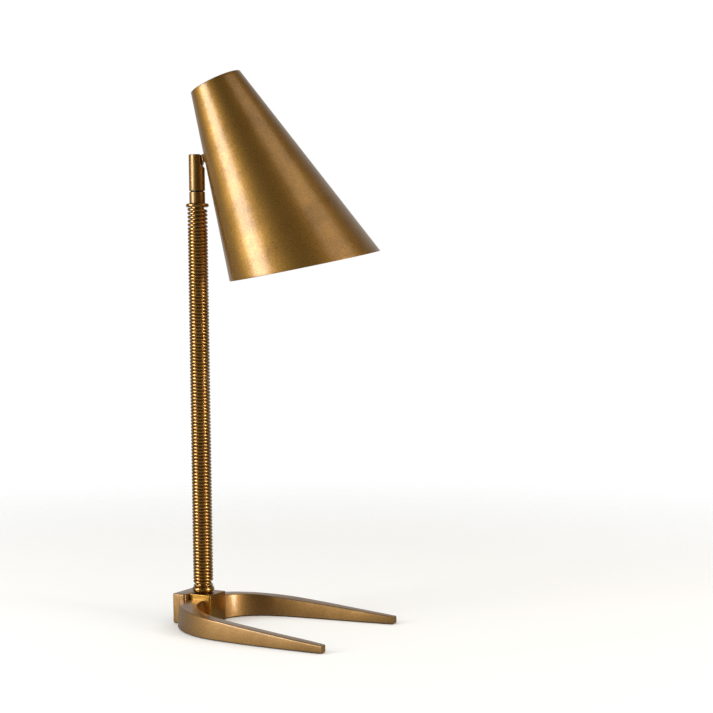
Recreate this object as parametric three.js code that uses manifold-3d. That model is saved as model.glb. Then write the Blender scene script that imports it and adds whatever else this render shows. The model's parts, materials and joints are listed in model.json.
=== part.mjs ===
// Brass desk lamp: a wishbone base carries an upright stem wound with wire. On top of the stem a knuckle
// swivels, and a conical metal shade tilts in the knuckle's slot. Millimetres, +Z up; the stem stands on the
// origin and +X points between the two arms of the base.
import * as THREE from 'three';
import { mergeVertices } from 'three/addons/utils/BufferGeometryUtils.js';
import Module from 'manifold-3d';

// ---- Fits ----
const SEAT_GAP = 0.3; // between pieces that seat on or in each other
const RUN_GAP = 0.15; // round a pin or shank that turns
const RAD = Math.PI / 180;

// ---- Base ----
const PAD_PROUD = 0.8; // the pads hold the castings this far off the table
const ARM_REACH = 195.5; // stem axis to the tips of the arms
const ARM_SPREAD = 82.2; // centre line to the outer corner of a tip
const TIP_WIDTH = 8.6;
const TIP_HEIGHT = 8.6;
const ARM_HEIGHT = 26.2; // top of an arm abreast of the stem
const BEND_LENGTH = 70; // along X, where the outer bend runs out
const ARM_BELLY = 4.2; // how far the outer bend ends inside the tip line
const ROOT_SETBACK = 3.5; // the inner wall of an arm leaves the block this far behind its front face
const ROOT_OVERLAP = 1.6; // and starts this far inside the block's side
const INNER_LEAN = 5.2; // the inner wall leans out by this over ARM_HEIGHT
const OUTER_LEAN = 1.7;
const ARM_ROUND = 1.6;
const BAR_REAR = 25.8; // stem axis to the back of the crossbar
const BAR_DEPTH = 16.8;
const BAR_HALF_WIDTH = 22.9;
const BLOCK_FRONT = 19; // stem axis to the front of the stem block
const BLOCK_HALF_WIDTH = 15.6;
const BLOCK_TOP = 32.7;
const BLOCK_CORNER = 1.4;
const BAR_CORNER = 2.6;

// ---- Stem ----
const TUBE_RADIUS = 7.4;
const TUBE_BORE = 5.2;
const COIL_RADIUS = 11;
const COLLAR_RADIUS = 12;
const COLLAR_HEIGHT = 6.8;
const FERRULE_RADIUS = 10.7;
const FERRULE_HEIGHT = 1.5;
const TOP_RING_RADIUS = 12.5;
const TOP_RING_HEIGHT = 4.2;
const NECK_BOTTOM = 457.8; // height of the stem up to the neck
const NECK_RADIUS = 8.55;
const NECK_LENGTH = 12.1;
const NECK_SHELF = 7.4; // thickness of metal between the neck's socket and its top

// ---- Swivel and knuckle ----
const WASHER_RADIUS = 7.2;
const WASHER_THICKNESS = 0.6;
const STUD_RADIUS = 4.7;
const STUD_FLANGE = 7.2;
const STUD_FLANGE_HEIGHT = 3;
const STUD_GRIP = 11; // length of stud screwed into the knuckle
const LEAD_WAY = 2.9; // radius of the way for the lead through stud and knuckle
const KNUCKLE_RADIUS = 8.63;
const KNUCKLE_LENGTH = 39.2;
const PIVOT_DROP = 4.8; // top of the knuckle to the tilt axis
const SLOT_WIDTH = 7.2;
const SLOT_BACK = 5; // tilt axis to the back wall of the slot
const SLOT_DEPTH = 13.4;
const RELIEF_FRONT = 4.8; // tilt axis to the flat on the front of the ears
const RELIEF_FLAT = 3.7; // length of that flat below the tilt axis
const RELIEF_RUN = 6.2; // height over which the flat runs out to the full round
const PIN_RADIUS = 1.5;
const PIN_BITE = 0.95; // how deep a pin enters the leaf

// ---- Shade, along its own axis ----
const SHADE_YAW = 24.4; // stored pose: the head is turned this far from the base's centre line
const SHADE_TILT = 24.2; // stored pose: lean of the shade's axis from upright
const SHADE_TOP_RADIUS = 29.06;
const SHADE_HALF_ANGLE = 13.2;
const SHADE_LENGTH = 219.8;
const SHADE_WALL = 0.9;
const RIM_SLANT = 13.7; // the lower rim is cut aslant, longest near the front
const RIM_CLOCK = -10.7; // how far round the axis from the front the rim's longest point lies
const HINGE_DROP = 70.3; // top edge to the hinge, down the back of the shade
const LEAF_THICKNESS = 6.6;
const LEAF_RADIUS = 3.9;
const LEAF_BELLY = 7.4; // how far the leaf reaches down in the slot, below the tilt axis
const LEAF_BELLY_FRONT = 6.4;
const FOOT_THICKNESS = 1.6;
const FOOT_HALF_WIDTH = 7.4;
const FOOT_UP = 3.2; // the foot and its plate reach this far up the wall from the tilt axis
const FOOT_DOWN = 5.2; // and this far down
const PLATE_THICKNESS = 1.2;
const LEAF_SCREW_OFFSET = 5;
const LEAF_SCREW_RADIUS = 1.2;
const LEAF_SCREW_HEAD = 2;
const CAP_DEPTH = 6; // top edge to the disc that closes the shade
const CAP_THICKNESS = 1.5;
const VENT_COUNT = 8;
const VENT_RADIUS = 2.6;
const VENT_CIRCLE = 19;

// ---- Lampholder and bulb, below the cap disc ----
const NIPPLE_RADIUS = 4.9;
const NIPPLE_BORE = 3.2;
const NIPPLE_PROUD = 3.2;
const NIPPLE_LENGTH = 15;
const CAP_NUT_RADIUS = 7.4;
const CAP_NUT_HEIGHT = 5;
const HOLDER_RADIUS = 19;
const HOLDER_WALL = 1.6;
const HOLDER_CAP_HEIGHT = 18;
const HOLDER_BODY_HEIGHT = 27;
const CONTACT_RADIUS = 14;
const CONTACT_HEIGHT = 6;
const BULB_CAP_RADIUS = 13.2;
const BULB_CAP_LENGTH = 24;
const BULB_RADIUS = 30;
const BULB_LENGTH = 80; // glass alone
const BULB_WALL = 0.8;
const KNOB_RADIUS = 4.6;
const KNOB_LENGTH = 7.5;
const KNOB_DROP = 8; // below the joint between holder cap and holder body
const SHAFT_RADIUS = 1.6;
const LEAD_RADIUS = 1.5;

// ---- Base fastenings and outlet ----
const OUTLET_HEIGHT = 20; // cord outlet at the back of the crossbar
const GLAND_RADIUS = 4.2;
const GLAND_FLANGE = 6.4;
const GLAND_BORE = 3.1;
const BLOCK_SCREW_RADIUS = 2.5;
const BLOCK_SCREW_HEAD = 4.4;
const BLOCK_SCREW_HEAD_DEPTH = 5.5; // back of the crossbar to the seat of the screw heads
const BLOCK_SCREW_SINK = 0.9; // heads below the back of the crossbar
const BLOCK_SCREW_OFFSET = 11.6;
const BLOCK_SCREW_BITE = 9;
const NUT_POCKET_RADIUS = 12;
const NUT_POCKET_DEPTH = 11;
const NUT_RADIUS = 11;
const NUT_HEIGHT = 5;
const STEM_WASHER_HEIGHT = 1.5;
const PAD_THICKNESS = 2;
const CENTRE_PAD_RADIUS = 14;
const ARM_PAD_RADIUS = 3.6;
const ARM_PAD_INSET = 13; // arm tip to the centre of its pad

const wasm = await Module();
wasm.setup();

// ---- Solid helpers ----

// A closed geometry as a manifold-3d solid.
function solidOf(geometry) {
  const bare = geometry.index ? geometry.clone() : geometry;
  bare.deleteAttribute('normal');
  bare.deleteAttribute('uv');
  const merged = mergeVertices(bare, 1e-4);
  return new wasm.Manifold(new wasm.Mesh({
    numProp: 3,
    vertProperties: merged.attributes.position.array,
    triVerts: new Uint32Array(merged.index.array),
  }));
}

// A manifold-3d solid as a geometry again.
function geometryOf(solid) {
  const mesh = solid.getMesh();
  const geometry = new THREE.BufferGeometry();
  geometry.setAttribute('position', new THREE.BufferAttribute(mesh.vertProperties, 3));
  geometry.setIndex(new THREE.BufferAttribute(mesh.triVerts, 1));
  geometry.computeVertexNormals();
  return geometry;
}

function cut(geometry, ...tools) {
  const rest = tools.reduce((solid, tool) => solid.subtract(solidOf(tool)), solidOf(geometry));
  return geometryOf(rest);
}

function join(...geometries) {
  const [first, ...others] = geometries.map(solidOf);
  return geometryOf(others.reduce((solid, other) => solid.add(other), first));
}

function common(first, second) {
  return geometryOf(solidOf(first).intersect(solidOf(second)));
}

// A solid of revolution about Z. Each profile point is [radius, height]; the profile runs anticlockwise.
function turned(profile, sides = 32) {
  const points = profile.map(([radius, height]) => new THREE.Vector2(radius, height));
  return new THREE.LatheGeometry(points, sides).rotateX(Math.PI / 2);
}

// A plain ring about Z between two radii and two heights, its outer corners chamfered.
function ring(inner, outer, bottom, top, chamfer = 0, sides = 32) {
  const outside = chamfer > 0
    ? [[outer - chamfer, bottom], [outer, bottom + chamfer], [outer, top - chamfer], [outer - chamfer, top]]
    : [[outer, bottom], [outer, top]];
  return turned([[inner, bottom], ...outside, [inner, top], [inner, bottom]], sides);
}

// A round bar about Z between two heights.
function bar(radius, bottom, top, sides = 24) {
  const length = top - bottom;
  return new THREE.CylinderGeometry(radius, radius, length, sides)
    .rotateX(Math.PI / 2)
    .translate(0, 0, bottom + length / 2);
}

// A round bar along X, from one x to another, at a given y and z.
function barAlongX(radius, from, to, y, z, sides = 20) {
  return bar(radius, from, to, sides).rotateY(Math.PI / 2).translate(0, y, z);
}

function barAlongY(radius, from, to, x, z, sides = 20) {
  return bar(radius, from, to, sides).rotateX(-Math.PI / 2).translate(x, 0, z);
}

function box(x0, x1, y0, y1, z0, z1) {
  return new THREE.BoxGeometry(x1 - x0, y1 - y0, z1 - z0)
    .translate((x0 + x1) / 2, (y0 + y1) / 2, (z0 + z1) / 2);
}

// An upright block with rounded corners in plan and a rounded upper and lower edge.
function roundedBlock(x0, x1, halfWidth, z0, z1, corner, edge) {
  const shape = new THREE.Shape();
  const [left, right] = [x0 + edge, x1 - edge];
  const half = halfWidth - edge;
  const r = corner;
  shape.moveTo(left + r, -half);
  shape.lineTo(right - r, -half);
  shape.absarc(right - r, -half + r, r, -Math.PI / 2, 0);
  shape.lineTo(right, half - r);
  shape.absarc(right - r, half - r, r, 0, Math.PI / 2);
  shape.lineTo(left + r, half);
  shape.absarc(left + r, half - r, r, Math.PI / 2, Math.PI);
  shape.lineTo(left, -half + r);
  shape.absarc(left + r, -half + r, r, Math.PI, Math.PI * 1.5);
  const settings = {
    depth: z1 - z0 - 2 * edge,
    bevelEnabled: true,
    bevelThickness: edge,
    bevelSize: edge,
    bevelSegments: 2,
    curveSegments: 3,
  };
  return new THREE.ExtrudeGeometry(shape, settings).translate(0, 0, z0 + edge);
}

// A tube of the lead along hand-chosen points.
function lead(points, steps) {
  const section = new THREE.Shape().absarc(0, 0, LEAD_RADIUS, 0, 2 * Math.PI);
  const path = new THREE.CatmullRomCurve3(points.map((point) => new THREE.Vector3(...point)));
  const settings = { steps, curveSegments: 3, extrudePath: path, bevelEnabled: false };
  return new THREE.ExtrudeGeometry(section, settings);
}

// ---- Finishes ----
function finish(color, roughness, metalness) {
  return new THREE.MeshStandardMaterial({ color, roughness, metalness });
}

const SATIN_BRASS = finish(0xa67c42, 0.42, 1);
const BRUSHED_BRASS = finish(0x9c7440, 0.46, 1);
const POLISHED_BRASS = finish(0xc2913c, 0.24, 1);
const WIRE_BRASS = finish(0x93692c, 0.3, 1);
const STEEL = finish(0x8f9092, 0.35, 1);
const RUBBER = finish(0x1d1b1a, 0.8, 0);
const PHENOLIC = finish(0x191513, 0.45, 0);
const STEATITE = finish(0xe6dfd0, 0.6, 0);
const CABLE_SLEEVE = finish(0xc9b48a, 0.7, 0);
const OPAL_GLASS = finish(0xf3efe6, 0.2, 0);

function piece(name, geometry, material) {
  const mesh = new THREE.Mesh(geometry, material);
  mesh.name = name;
  return mesh;
}

// ---- Base ----
const plan = (x, y) => new THREE.Vector2(x, y);
const INNER_TIP = ARM_SPREAD - TIP_WIDTH;
const ROOT_X = BLOCK_FRONT - ROOT_SETBACK;
const ROOT_Y = BLOCK_HALF_WIDTH - ROOT_OVERLAP;
const INNER_BEND_END = plan(BEND_LENGTH - 12, INNER_TIP - 16.6);
const OUTER_BEND_END = plan(BEND_LENGTH, ARM_SPREAD - ARM_BELLY);

// Outer wall of an arm in plan: out of the crossbar, round the bend and along to the tip. Each curve's ends
// follow the driving sizes, and its handles, in millimetres, set how full the bend and the run are.
const outerPlan = new THREE.CurvePath();
outerPlan.add(new THREE.CubicBezierCurve(
  plan(5.8 - BAR_REAR, BAR_HALF_WIDTH - 5),
  plan(-10, ARM_SPREAD * 0.49),
  plan(BEND_LENGTH * 0.2, ARM_SPREAD - 8.7),
  OUTER_BEND_END,
));
outerPlan.add(new THREE.QuadraticBezierCurve(
  OUTER_BEND_END,
  plan(BEND_LENGTH + 50, ARM_SPREAD + 1.4),
  plan(ARM_REACH, ARM_SPREAD),
));

// Inner wall of an arm in plan, from the block's side to the tip.
const innerPlan = new THREE.CurvePath();
innerPlan.add(new THREE.CubicBezierCurve(
  plan(ROOT_X, ROOT_Y),
  plan(ROOT_X - 1, INNER_TIP - 42.6),
  plan(ROOT_X + 11.5, INNER_TIP - 23.6),
  INNER_BEND_END,
));
innerPlan.add(new THREE.CubicBezierCurve(
  INNER_BEND_END,
  plan(BEND_LENGTH + 20, INNER_TIP - 9.3),
  plan(ARM_REACH - 45, INNER_TIP - 7.6),
  plan(ARM_REACH, INNER_TIP),
));

// Both walls are read piece by piece, so the same t is abreast on each.
function planPoint(curve, t) {
  const half = t < 0.5 ? 0 : 1;
  return curve.curves[half].getPoint(t * 2 - half);
}

const armTop = (x) => ARM_HEIGHT - (ARM_HEIGHT - TIP_HEIGHT) * x / ARM_REACH;

// Cross-section of an arm at t: a rounded four-sided outline between the outer and inner walls.
const SECTION_CORNER_STEPS = 2;
const SECTION_POINTS = 4 * (SECTION_CORNER_STEPS + 1);

function armSection(t) {
  const outer = planPoint(outerPlan, t);
  const inner = planPoint(innerPlan, t);
  const across = inner.clone().sub(outer);
  const width = across.length();
  const direction = across.divideScalar(width);
  const top = armTop((outer.x + inner.x) / 2);
  const lean = Math.min(1, (1 - t) * 6) * top / ARM_HEIGHT;
  const corners = [
    [0, PAD_PROUD],
    [width, PAD_PROUD],
    [width - INNER_LEAN * lean, top],
    [OUTER_LEAN * lean, top],
  ];
  const middle = [width / 2, (PAD_PROUD + top) / 2];
  return corners.flatMap(([a, z], i) => {
    const inward = [Math.sign(middle[0] - a) * ARM_ROUND, Math.sign(middle[1] - z) * ARM_ROUND];
    const start = Math.PI + i * Math.PI / 2;
    return Array.from({ length: SECTION_CORNER_STEPS + 1 }, (_, k) => {
      const angle = start + (k / SECTION_CORNER_STEPS) * Math.PI / 2;
      const along = a + inward[0] + ARM_ROUND * Math.cos(angle);
      const height = z + inward[1] + ARM_ROUND * Math.sin(angle);
      return new THREE.Vector3(outer.x + direction.x * along, outer.y + direction.y * along, height);
    });
  });
}

// One arm, as a cylinder whose rings are laid on the cross-sections.
const ARM_STEPS = 28;

function armGeometry() {
  const geometry = new THREE.CylinderGeometry(1, 1, 1, SECTION_POINTS, ARM_STEPS);
  const position = geometry.attributes.position;
  const sections = Array.from({ length: ARM_STEPS + 1 }, (_, i) => armSection(i / ARM_STEPS));
  for (let i = 0; i < position.count; i += 1) {
    const [x, y, z] = [position.getX(i), position.getY(i), position.getZ(i)];
    const section = sections[Math.round((0.5 - y) * ARM_STEPS)];
    const turn = Math.atan2(x, z) / (2 * Math.PI) + 1;
    const corner = Math.round(turn * SECTION_POINTS) % SECTION_POINTS;
    const centre = section.reduce((sum, point) => sum.add(point), new THREE.Vector3());
    const point = Math.hypot(x, z) > 0.5 ? section[corner] : centre.divideScalar(SECTION_POINTS);
    position.setXYZ(i, point.x, point.y, point.z);
  }
  return geometry;
}

// The same solid reflected in the plane y = 0, with its faces still pointing out.
function mirrored(geometry) {
  const copy = geometry.clone().scale(1, -1, 1);
  const index = copy.index.array;
  for (let i = 0; i < index.length; i += 3) {
    [index[i + 1], index[i + 2]] = [index[i + 2], index[i + 1]];
  }
  return copy;
}

const BAR_FRONT = BAR_DEPTH - BAR_REAR;
const BLOCK_REAR = BAR_FRONT + SEAT_GAP;
const PAD_X = ARM_REACH - ARM_PAD_INSET;
const PAD_Y = (planPoint(outerPlan, 0.96).y + planPoint(innerPlan, 0.96).y) / 2;
const PAD_POCKET_TOP = PAD_THICKNESS + SEAT_GAP;

function makeYoke() {
  const arm = armGeometry();
  const crossbar = roundedBlock(-BAR_REAR, BAR_FRONT, BAR_HALF_WIDTH, PAD_PROUD, BLOCK_TOP, BAR_CORNER, 1);
  const blockSpace = box(
    BAR_FRONT,
    BLOCK_FRONT * 3,
    -BLOCK_HALF_WIDTH - SEAT_GAP,
    BLOCK_HALF_WIDTH + SEAT_GAP,
    -1,
    BLOCK_TOP + 9,
  );
  const outlet = barAlongX(GLAND_RADIUS + SEAT_GAP, -BAR_REAR - 1, BAR_FRONT + 1, 0, OUTLET_HEIGHT);
  const tools = [blockSpace, outlet];
  for (const side of [-1, 1]) {
    const y = side * BLOCK_SCREW_OFFSET;
    const headEnd = BLOCK_SCREW_HEAD_DEPTH - BAR_REAR;
    tools.push(barAlongX(BLOCK_SCREW_RADIUS + SEAT_GAP, -BAR_REAR - 1, BAR_FRONT + 1, y, OUTLET_HEIGHT));
    tools.push(barAlongX(BLOCK_SCREW_HEAD + SEAT_GAP, -BAR_REAR - 1, headEnd, y, OUTLET_HEIGHT));
    tools.push(bar(ARM_PAD_RADIUS + SEAT_GAP, -1, PAD_POCKET_TOP).translate(PAD_X, side * PAD_Y, 0));
  }
  tools.push(bar(CENTRE_PAD_RADIUS + SEAT_GAP, -1, PAD_POCKET_TOP, 40));
  tools.push(bar(NUT_POCKET_RADIUS, -1, POCKET_TOP, 32));
  return cut(join(crossbar, arm, mirrored(arm)), ...tools);
}

const TUBE_SOCKET = TUBE_RADIUS + SEAT_GAP;
const POCKET_TOP = PAD_POCKET_TOP + NUT_POCKET_DEPTH;

function makeStemBlock() {
  const block = roundedBlock(
    BLOCK_REAR,
    BLOCK_FRONT,
    BLOCK_HALF_WIDTH,
    PAD_PROUD,
    BLOCK_TOP,
    BLOCK_CORNER,
    0.7,
  );
  const tools = [
    bar(TUBE_SOCKET, -1, BLOCK_TOP + 1, 32),
    bar(NUT_POCKET_RADIUS, -1, POCKET_TOP, 32),
    bar(CENTRE_PAD_RADIUS + SEAT_GAP, -1, PAD_POCKET_TOP, 40),
    barAlongX(LEAD_RADIUS + 0.8, BLOCK_REAR - 1, 0, 0, OUTLET_HEIGHT),
  ];
  for (const side of [-1, 1]) {
    const y = side * BLOCK_SCREW_OFFSET;
    const end = BLOCK_REAR + BLOCK_SCREW_BITE + SEAT_GAP;
    tools.push(barAlongX(BLOCK_SCREW_RADIUS + SEAT_GAP, BLOCK_REAR - 1, end, y, OUTLET_HEIGHT));
  }
  return cut(block, ...tools);
}

// A socket-head screw along +X, the underside of its head at the origin.
function socketScrew(radius, headRadius, headHeight, length) {
  const body = join(bar(headRadius, -headHeight, 0, 24), bar(radius, -0.1, length, 20));
  const socket = new THREE.CylinderGeometry(headRadius * 0.5, headRadius * 0.5, headHeight * 1.2, 6)
    .rotateX(Math.PI / 2)
    .translate(0, 0, -headHeight);
  return cut(body, socket).rotateY(Math.PI / 2);
}

function makeGland() {
  const outside = -BAR_REAR - SEAT_GAP;
  return turned([
    [GLAND_BORE, BAR_REAR - BAR_DEPTH + 1],
    [GLAND_RADIUS, BAR_REAR - BAR_DEPTH + 1],
    [GLAND_RADIUS, -outside],
    [GLAND_FLANGE, -outside],
    [GLAND_FLANGE, -outside + 1],
    [GLAND_FLANGE - 1, -outside + 2],
    [GLAND_BORE, -outside + 2],
    [GLAND_BORE, BAR_REAR - BAR_DEPTH + 1],
  ], 24).rotateY(-Math.PI / 2).translate(0, 0, OUTLET_HEIGHT);
}

const base = new THREE.Group();
base.add(piece('base_yoke', makeYoke(), BRUSHED_BRASS));
base.add(piece('stem_block', makeStemBlock(), POLISHED_BRASS));
base.add(piece('cord_gland', makeGland(), PHENOLIC));
base.add(piece('pad_centre', bar(CENTRE_PAD_RADIUS, 0, PAD_THICKNESS, 40), RUBBER));
for (const [side, word] of [[1, 'left'], [-1, 'right']]) {
  const pad = piece('pad_' + word, bar(ARM_PAD_RADIUS, 0, PAD_THICKNESS), RUBBER);
  pad.position.set(PAD_X, side * PAD_Y, 0);
  base.add(pad);
  const headHeight = BLOCK_SCREW_HEAD_DEPTH - BLOCK_SCREW_SINK;
  const reach = BAR_DEPTH - BLOCK_SCREW_HEAD_DEPTH + SEAT_GAP + BLOCK_SCREW_BITE;
  const screw = piece(
    'block_screw_' + word,
    socketScrew(BLOCK_SCREW_RADIUS, BLOCK_SCREW_HEAD, headHeight, reach - SEAT_GAP),
    STEEL,
  );
  screw.position.set(BLOCK_SCREW_HEAD_DEPTH - BAR_REAR - SEAT_GAP, side * BLOCK_SCREW_OFFSET, OUTLET_HEIGHT);
  base.add(screw);
}

// ---- Stem ----
const COLLAR_BOTTOM = BLOCK_TOP + SEAT_GAP;
const FERRULE_BOTTOM = COLLAR_BOTTOM + COLLAR_HEIGHT + SEAT_GAP;
const COIL_BOTTOM = FERRULE_BOTTOM + FERRULE_HEIGHT + SEAT_GAP;
const TOP_RING_BOTTOM = NECK_BOTTOM - SEAT_GAP - TOP_RING_HEIGHT;
const COIL_TOP = TOP_RING_BOTTOM - SEAT_GAP;
const NECK_TOP = NECK_BOTTOM + NECK_LENGTH;
const SHELF_BOTTOM = NECK_TOP - NECK_SHELF;
const STUD_BOTTOM = SHELF_BOTTOM - SEAT_GAP - STUD_FLANGE_HEIGHT;
const TUBE_TOP = STUD_BOTTOM - SEAT_GAP;
const STEM_WASHER_TOP = POCKET_TOP - SEAT_GAP;
const NUT_TOP = STEM_WASHER_TOP - STEM_WASHER_HEIGHT - SEAT_GAP;
const TUBE_BOTTOM = NUT_TOP - NUT_HEIGHT - 1;

// A ring with a full round outside, its straight bore at the given radius.
function beadRing(bore, outer, bottom, height) {
  const flat = Math.min(height / 2, outer - bore - 0.5);
  const profile = [[bore, bottom]];
  const steps = 6;
  for (let i = 0; i <= steps; i += 1) {
    const angle = -Math.PI / 2 + (i / steps) * Math.PI;
    const rise = (height / 2) * (1 + Math.sin(angle));
    profile.push([outer - flat + flat * Math.cos(angle), bottom + rise]);
  }
  profile.push([bore, bottom + height], [bore, bottom]);
  return turned(profile, 32);
}

function makeStemTube() {
  const tube = ring(TUBE_BORE, TUBE_RADIUS, TUBE_BOTTOM, TUBE_TOP, 0.5, 32);
  const leadHole = barAlongX(LEAD_RADIUS + 0.8, -TUBE_RADIUS - 1, 0, 0, OUTLET_HEIGHT);
  return cut(tube, leadHole);
}

function makeNut(radius, bore, bottom, height) {
  const hex = new THREE.CylinderGeometry(radius, radius, height, 6)
    .rotateX(Math.PI / 2)
    .translate(0, 0, bottom + height / 2);
  return cut(hex, bar(bore, bottom - 1, bottom + height + 1, 32));
}

function makeNeck() {
  const neck = turned([
    [TUBE_SOCKET, NECK_BOTTOM],
    [NECK_RADIUS, NECK_BOTTOM],
    [NECK_RADIUS, NECK_TOP - 0.4],
    [NECK_RADIUS - 0.4, NECK_TOP],
    [STUD_RADIUS + RUN_GAP, NECK_TOP],
    [STUD_RADIUS + RUN_GAP, SHELF_BOTTOM],
    [TUBE_SOCKET, SHELF_BOTTOM],
    [TUBE_SOCKET, NECK_BOTTOM],
  ], 40);
  return neck;
}

const stem = new THREE.Group();
stem.add(piece('stem_tube', makeStemTube(), BRUSHED_BRASS));
const stemNut = makeNut(NUT_RADIUS, TUBE_SOCKET, NUT_TOP - NUT_HEIGHT, NUT_HEIGHT);
stem.add(piece('stem_nut', stemNut, STEEL));
stem.add(piece(
  'stem_washer',
  ring(TUBE_SOCKET, NUT_POCKET_RADIUS - 0.5, STEM_WASHER_TOP - STEM_WASHER_HEIGHT, STEM_WASHER_TOP),
  STEEL,
));
const collar = beadRing(TUBE_SOCKET, COLLAR_RADIUS, COLLAR_BOTTOM, COLLAR_HEIGHT);
const ferrule = beadRing(TUBE_SOCKET, FERRULE_RADIUS, FERRULE_BOTTOM, FERRULE_HEIGHT);
stem.add(piece('stem_collar', collar, WIRE_BRASS));
stem.add(piece('stem_ferrule', ferrule, WIRE_BRASS));
stem.add(piece('stem_coil', ring(TUBE_SOCKET, COIL_RADIUS, COIL_BOTTOM, COIL_TOP, 0.6, 40), WIRE_BRASS));
stem.add(piece(
  'stem_top_ring',
  beadRing(TUBE_SOCKET, TOP_RING_RADIUS, TOP_RING_BOTTOM, TOP_RING_HEIGHT),
  WIRE_BRASS,
));
stem.add(piece('neck', makeNeck(), SATIN_BRASS));

// ---- Swivel and knuckle, which turn about the stem's axis ----
const WASHER_BOTTOM = NECK_TOP + SEAT_GAP;
const KNUCKLE_BOTTOM = WASHER_BOTTOM + WASHER_THICKNESS + SEAT_GAP;
const KNUCKLE_TOP = KNUCKLE_BOTTOM + KNUCKLE_LENGTH;
const PIVOT_HEIGHT = KNUCKLE_TOP - PIVOT_DROP;
const STUD_TOP = KNUCKLE_BOTTOM + STUD_GRIP;
const SLOT_BOTTOM = KNUCKLE_TOP - SLOT_DEPTH;

function makeStud() {
  return turned([
    [LEAD_WAY, STUD_BOTTOM],
    [STUD_FLANGE, STUD_BOTTOM],
    [STUD_FLANGE, STUD_BOTTOM + STUD_FLANGE_HEIGHT],
    [STUD_RADIUS, STUD_BOTTOM + STUD_FLANGE_HEIGHT],
    [STUD_RADIUS, STUD_TOP],
    [LEAD_WAY, STUD_TOP],
    [LEAD_WAY, STUD_BOTTOM],
  ], 32);
}

// The front of the ears is cut back in side view, so that the shade's wall can lean over them.
function reliefTool() {
  const shape = new THREE.Shape();
  const flatEnd = PIVOT_HEIGHT - RELIEF_FLAT;
  const chamfer = 0.6;
  shape.moveTo(RELIEF_FRONT - chamfer, KNUCKLE_TOP + 1);
  shape.lineTo(RELIEF_FRONT - chamfer, KNUCKLE_TOP);
  shape.lineTo(RELIEF_FRONT, KNUCKLE_TOP - chamfer);
  shape.lineTo(RELIEF_FRONT, flatEnd);
  const runEnd = flatEnd - RELIEF_RUN;
  shape.quadraticCurveTo(RELIEF_FRONT + 0.6, flatEnd - RELIEF_RUN * 0.6, KNUCKLE_RADIUS, runEnd);
  shape.lineTo(KNUCKLE_RADIUS + 2, runEnd);
  shape.lineTo(KNUCKLE_RADIUS + 2, KNUCKLE_TOP + 1);
  const depth = 2 * KNUCKLE_RADIUS + 2;
  return new THREE.ExtrudeGeometry(shape, { depth, bevelEnabled: false, curveSegments: 6 })
    .rotateX(Math.PI / 2)
    .translate(0, depth / 2, 0);
}

const PIN_INNER = LEAF_THICKNESS / 2 - PIN_BITE;
const PIN_OUTER = KNUCKLE_RADIUS - 0.2;

function makeKnuckle() {
  const body = turned([
    [0, KNUCKLE_BOTTOM],
    [KNUCKLE_RADIUS - 0.4, KNUCKLE_BOTTOM],
    [KNUCKLE_RADIUS, KNUCKLE_BOTTOM + 0.4],
    [KNUCKLE_RADIUS, KNUCKLE_TOP - 0.5],
    [KNUCKLE_RADIUS - 0.5, KNUCKLE_TOP],
    [0, KNUCKLE_TOP],
  ], 48);
  const slotHalf = SLOT_WIDTH / 2;
  return cut(
    body,
    bar(STUD_RADIUS + SEAT_GAP, KNUCKLE_BOTTOM - 1, STUD_TOP + SEAT_GAP, 32),
    bar(LEAD_WAY, KNUCKLE_BOTTOM, SLOT_BOTTOM + 1, 24),
    box(-SLOT_BACK, KNUCKLE_RADIUS + 1, -slotHalf, slotHalf, SLOT_BOTTOM, KNUCKLE_TOP + 1),
    reliefTool(),
    barAlongY(PIN_RADIUS + RUN_GAP, -KNUCKLE_RADIUS - 1, KNUCKLE_RADIUS + 1, 0, PIVOT_HEIGHT),
  );
}

const head = new THREE.Group();
head.rotation.z = SHADE_YAW * RAD;
head.add(piece('swivel_stud', makeStud(), STEEL));
head.add(piece('knuckle', makeKnuckle(), SATIN_BRASS));
const leftPin = barAlongY(PIN_RADIUS, PIN_INNER, PIN_OUTER, 0, PIVOT_HEIGHT);
const rightPin = barAlongY(PIN_RADIUS, -PIN_OUTER, -PIN_INNER, 0, PIVOT_HEIGHT);
head.add(piece('hinge_pin_left', leftPin, SATIN_BRASS));
head.add(piece('hinge_pin_right', rightPin, SATIN_BRASS));
stem.add(piece(
  'friction_washer',
  ring(STUD_RADIUS + SEAT_GAP, WASHER_RADIUS, WASHER_BOTTOM, WASHER_BOTTOM + WASHER_THICKNESS),
  STEEL,
));

// ---- Shade, in its own frame: origin at the centre of its top edge, -Z down its axis, +X to its front ----
const TAN = Math.tan(SHADE_HALF_ANGLE * RAD);
const SIN = Math.sin(SHADE_HALF_ANGLE * RAD);
const COS = Math.cos(SHADE_HALF_ANGLE * RAD);
const STANDOFF = KNUCKLE_RADIUS + SEAT_GAP; // tilt axis to the shade's outer wall
const SHADE_SIDES = 72;

// Radius of the shade's outer wall at a depth below the top edge, with the wall moved out by offset.
const shadeRadius = (depth, offset = 0) => SHADE_TOP_RADIUS + depth * TAN + offset / COS;

// A solid cone that follows the shade's outer wall, moved out by offset.
function shadeCone(offset, depth) {
  return turned([
    [0, -depth],
    [shadeRadius(depth, offset), -depth],
    [shadeRadius(-10, offset), 10],
    [0, 10],
  ], SHADE_SIDES);
}

// The hinge's frame on the shade: origin on the tilt axis, +X square into the wall, +Z up the wall.
const hingeX = -(SHADE_TOP_RADIUS + HINGE_DROP * SIN) - STANDOFF * COS;
const hingeZ = -HINGE_DROP * COS + STANDOFF * SIN;
const toShade = (geometry) => geometry.rotateY(SHADE_HALF_ANGLE * RAD).translate(hingeX, 0, hingeZ);

const DEEPEST = SHADE_LENGTH * 1.5;
const LEAD_HOLE = LEAD_RADIUS + 0.3;

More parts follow.
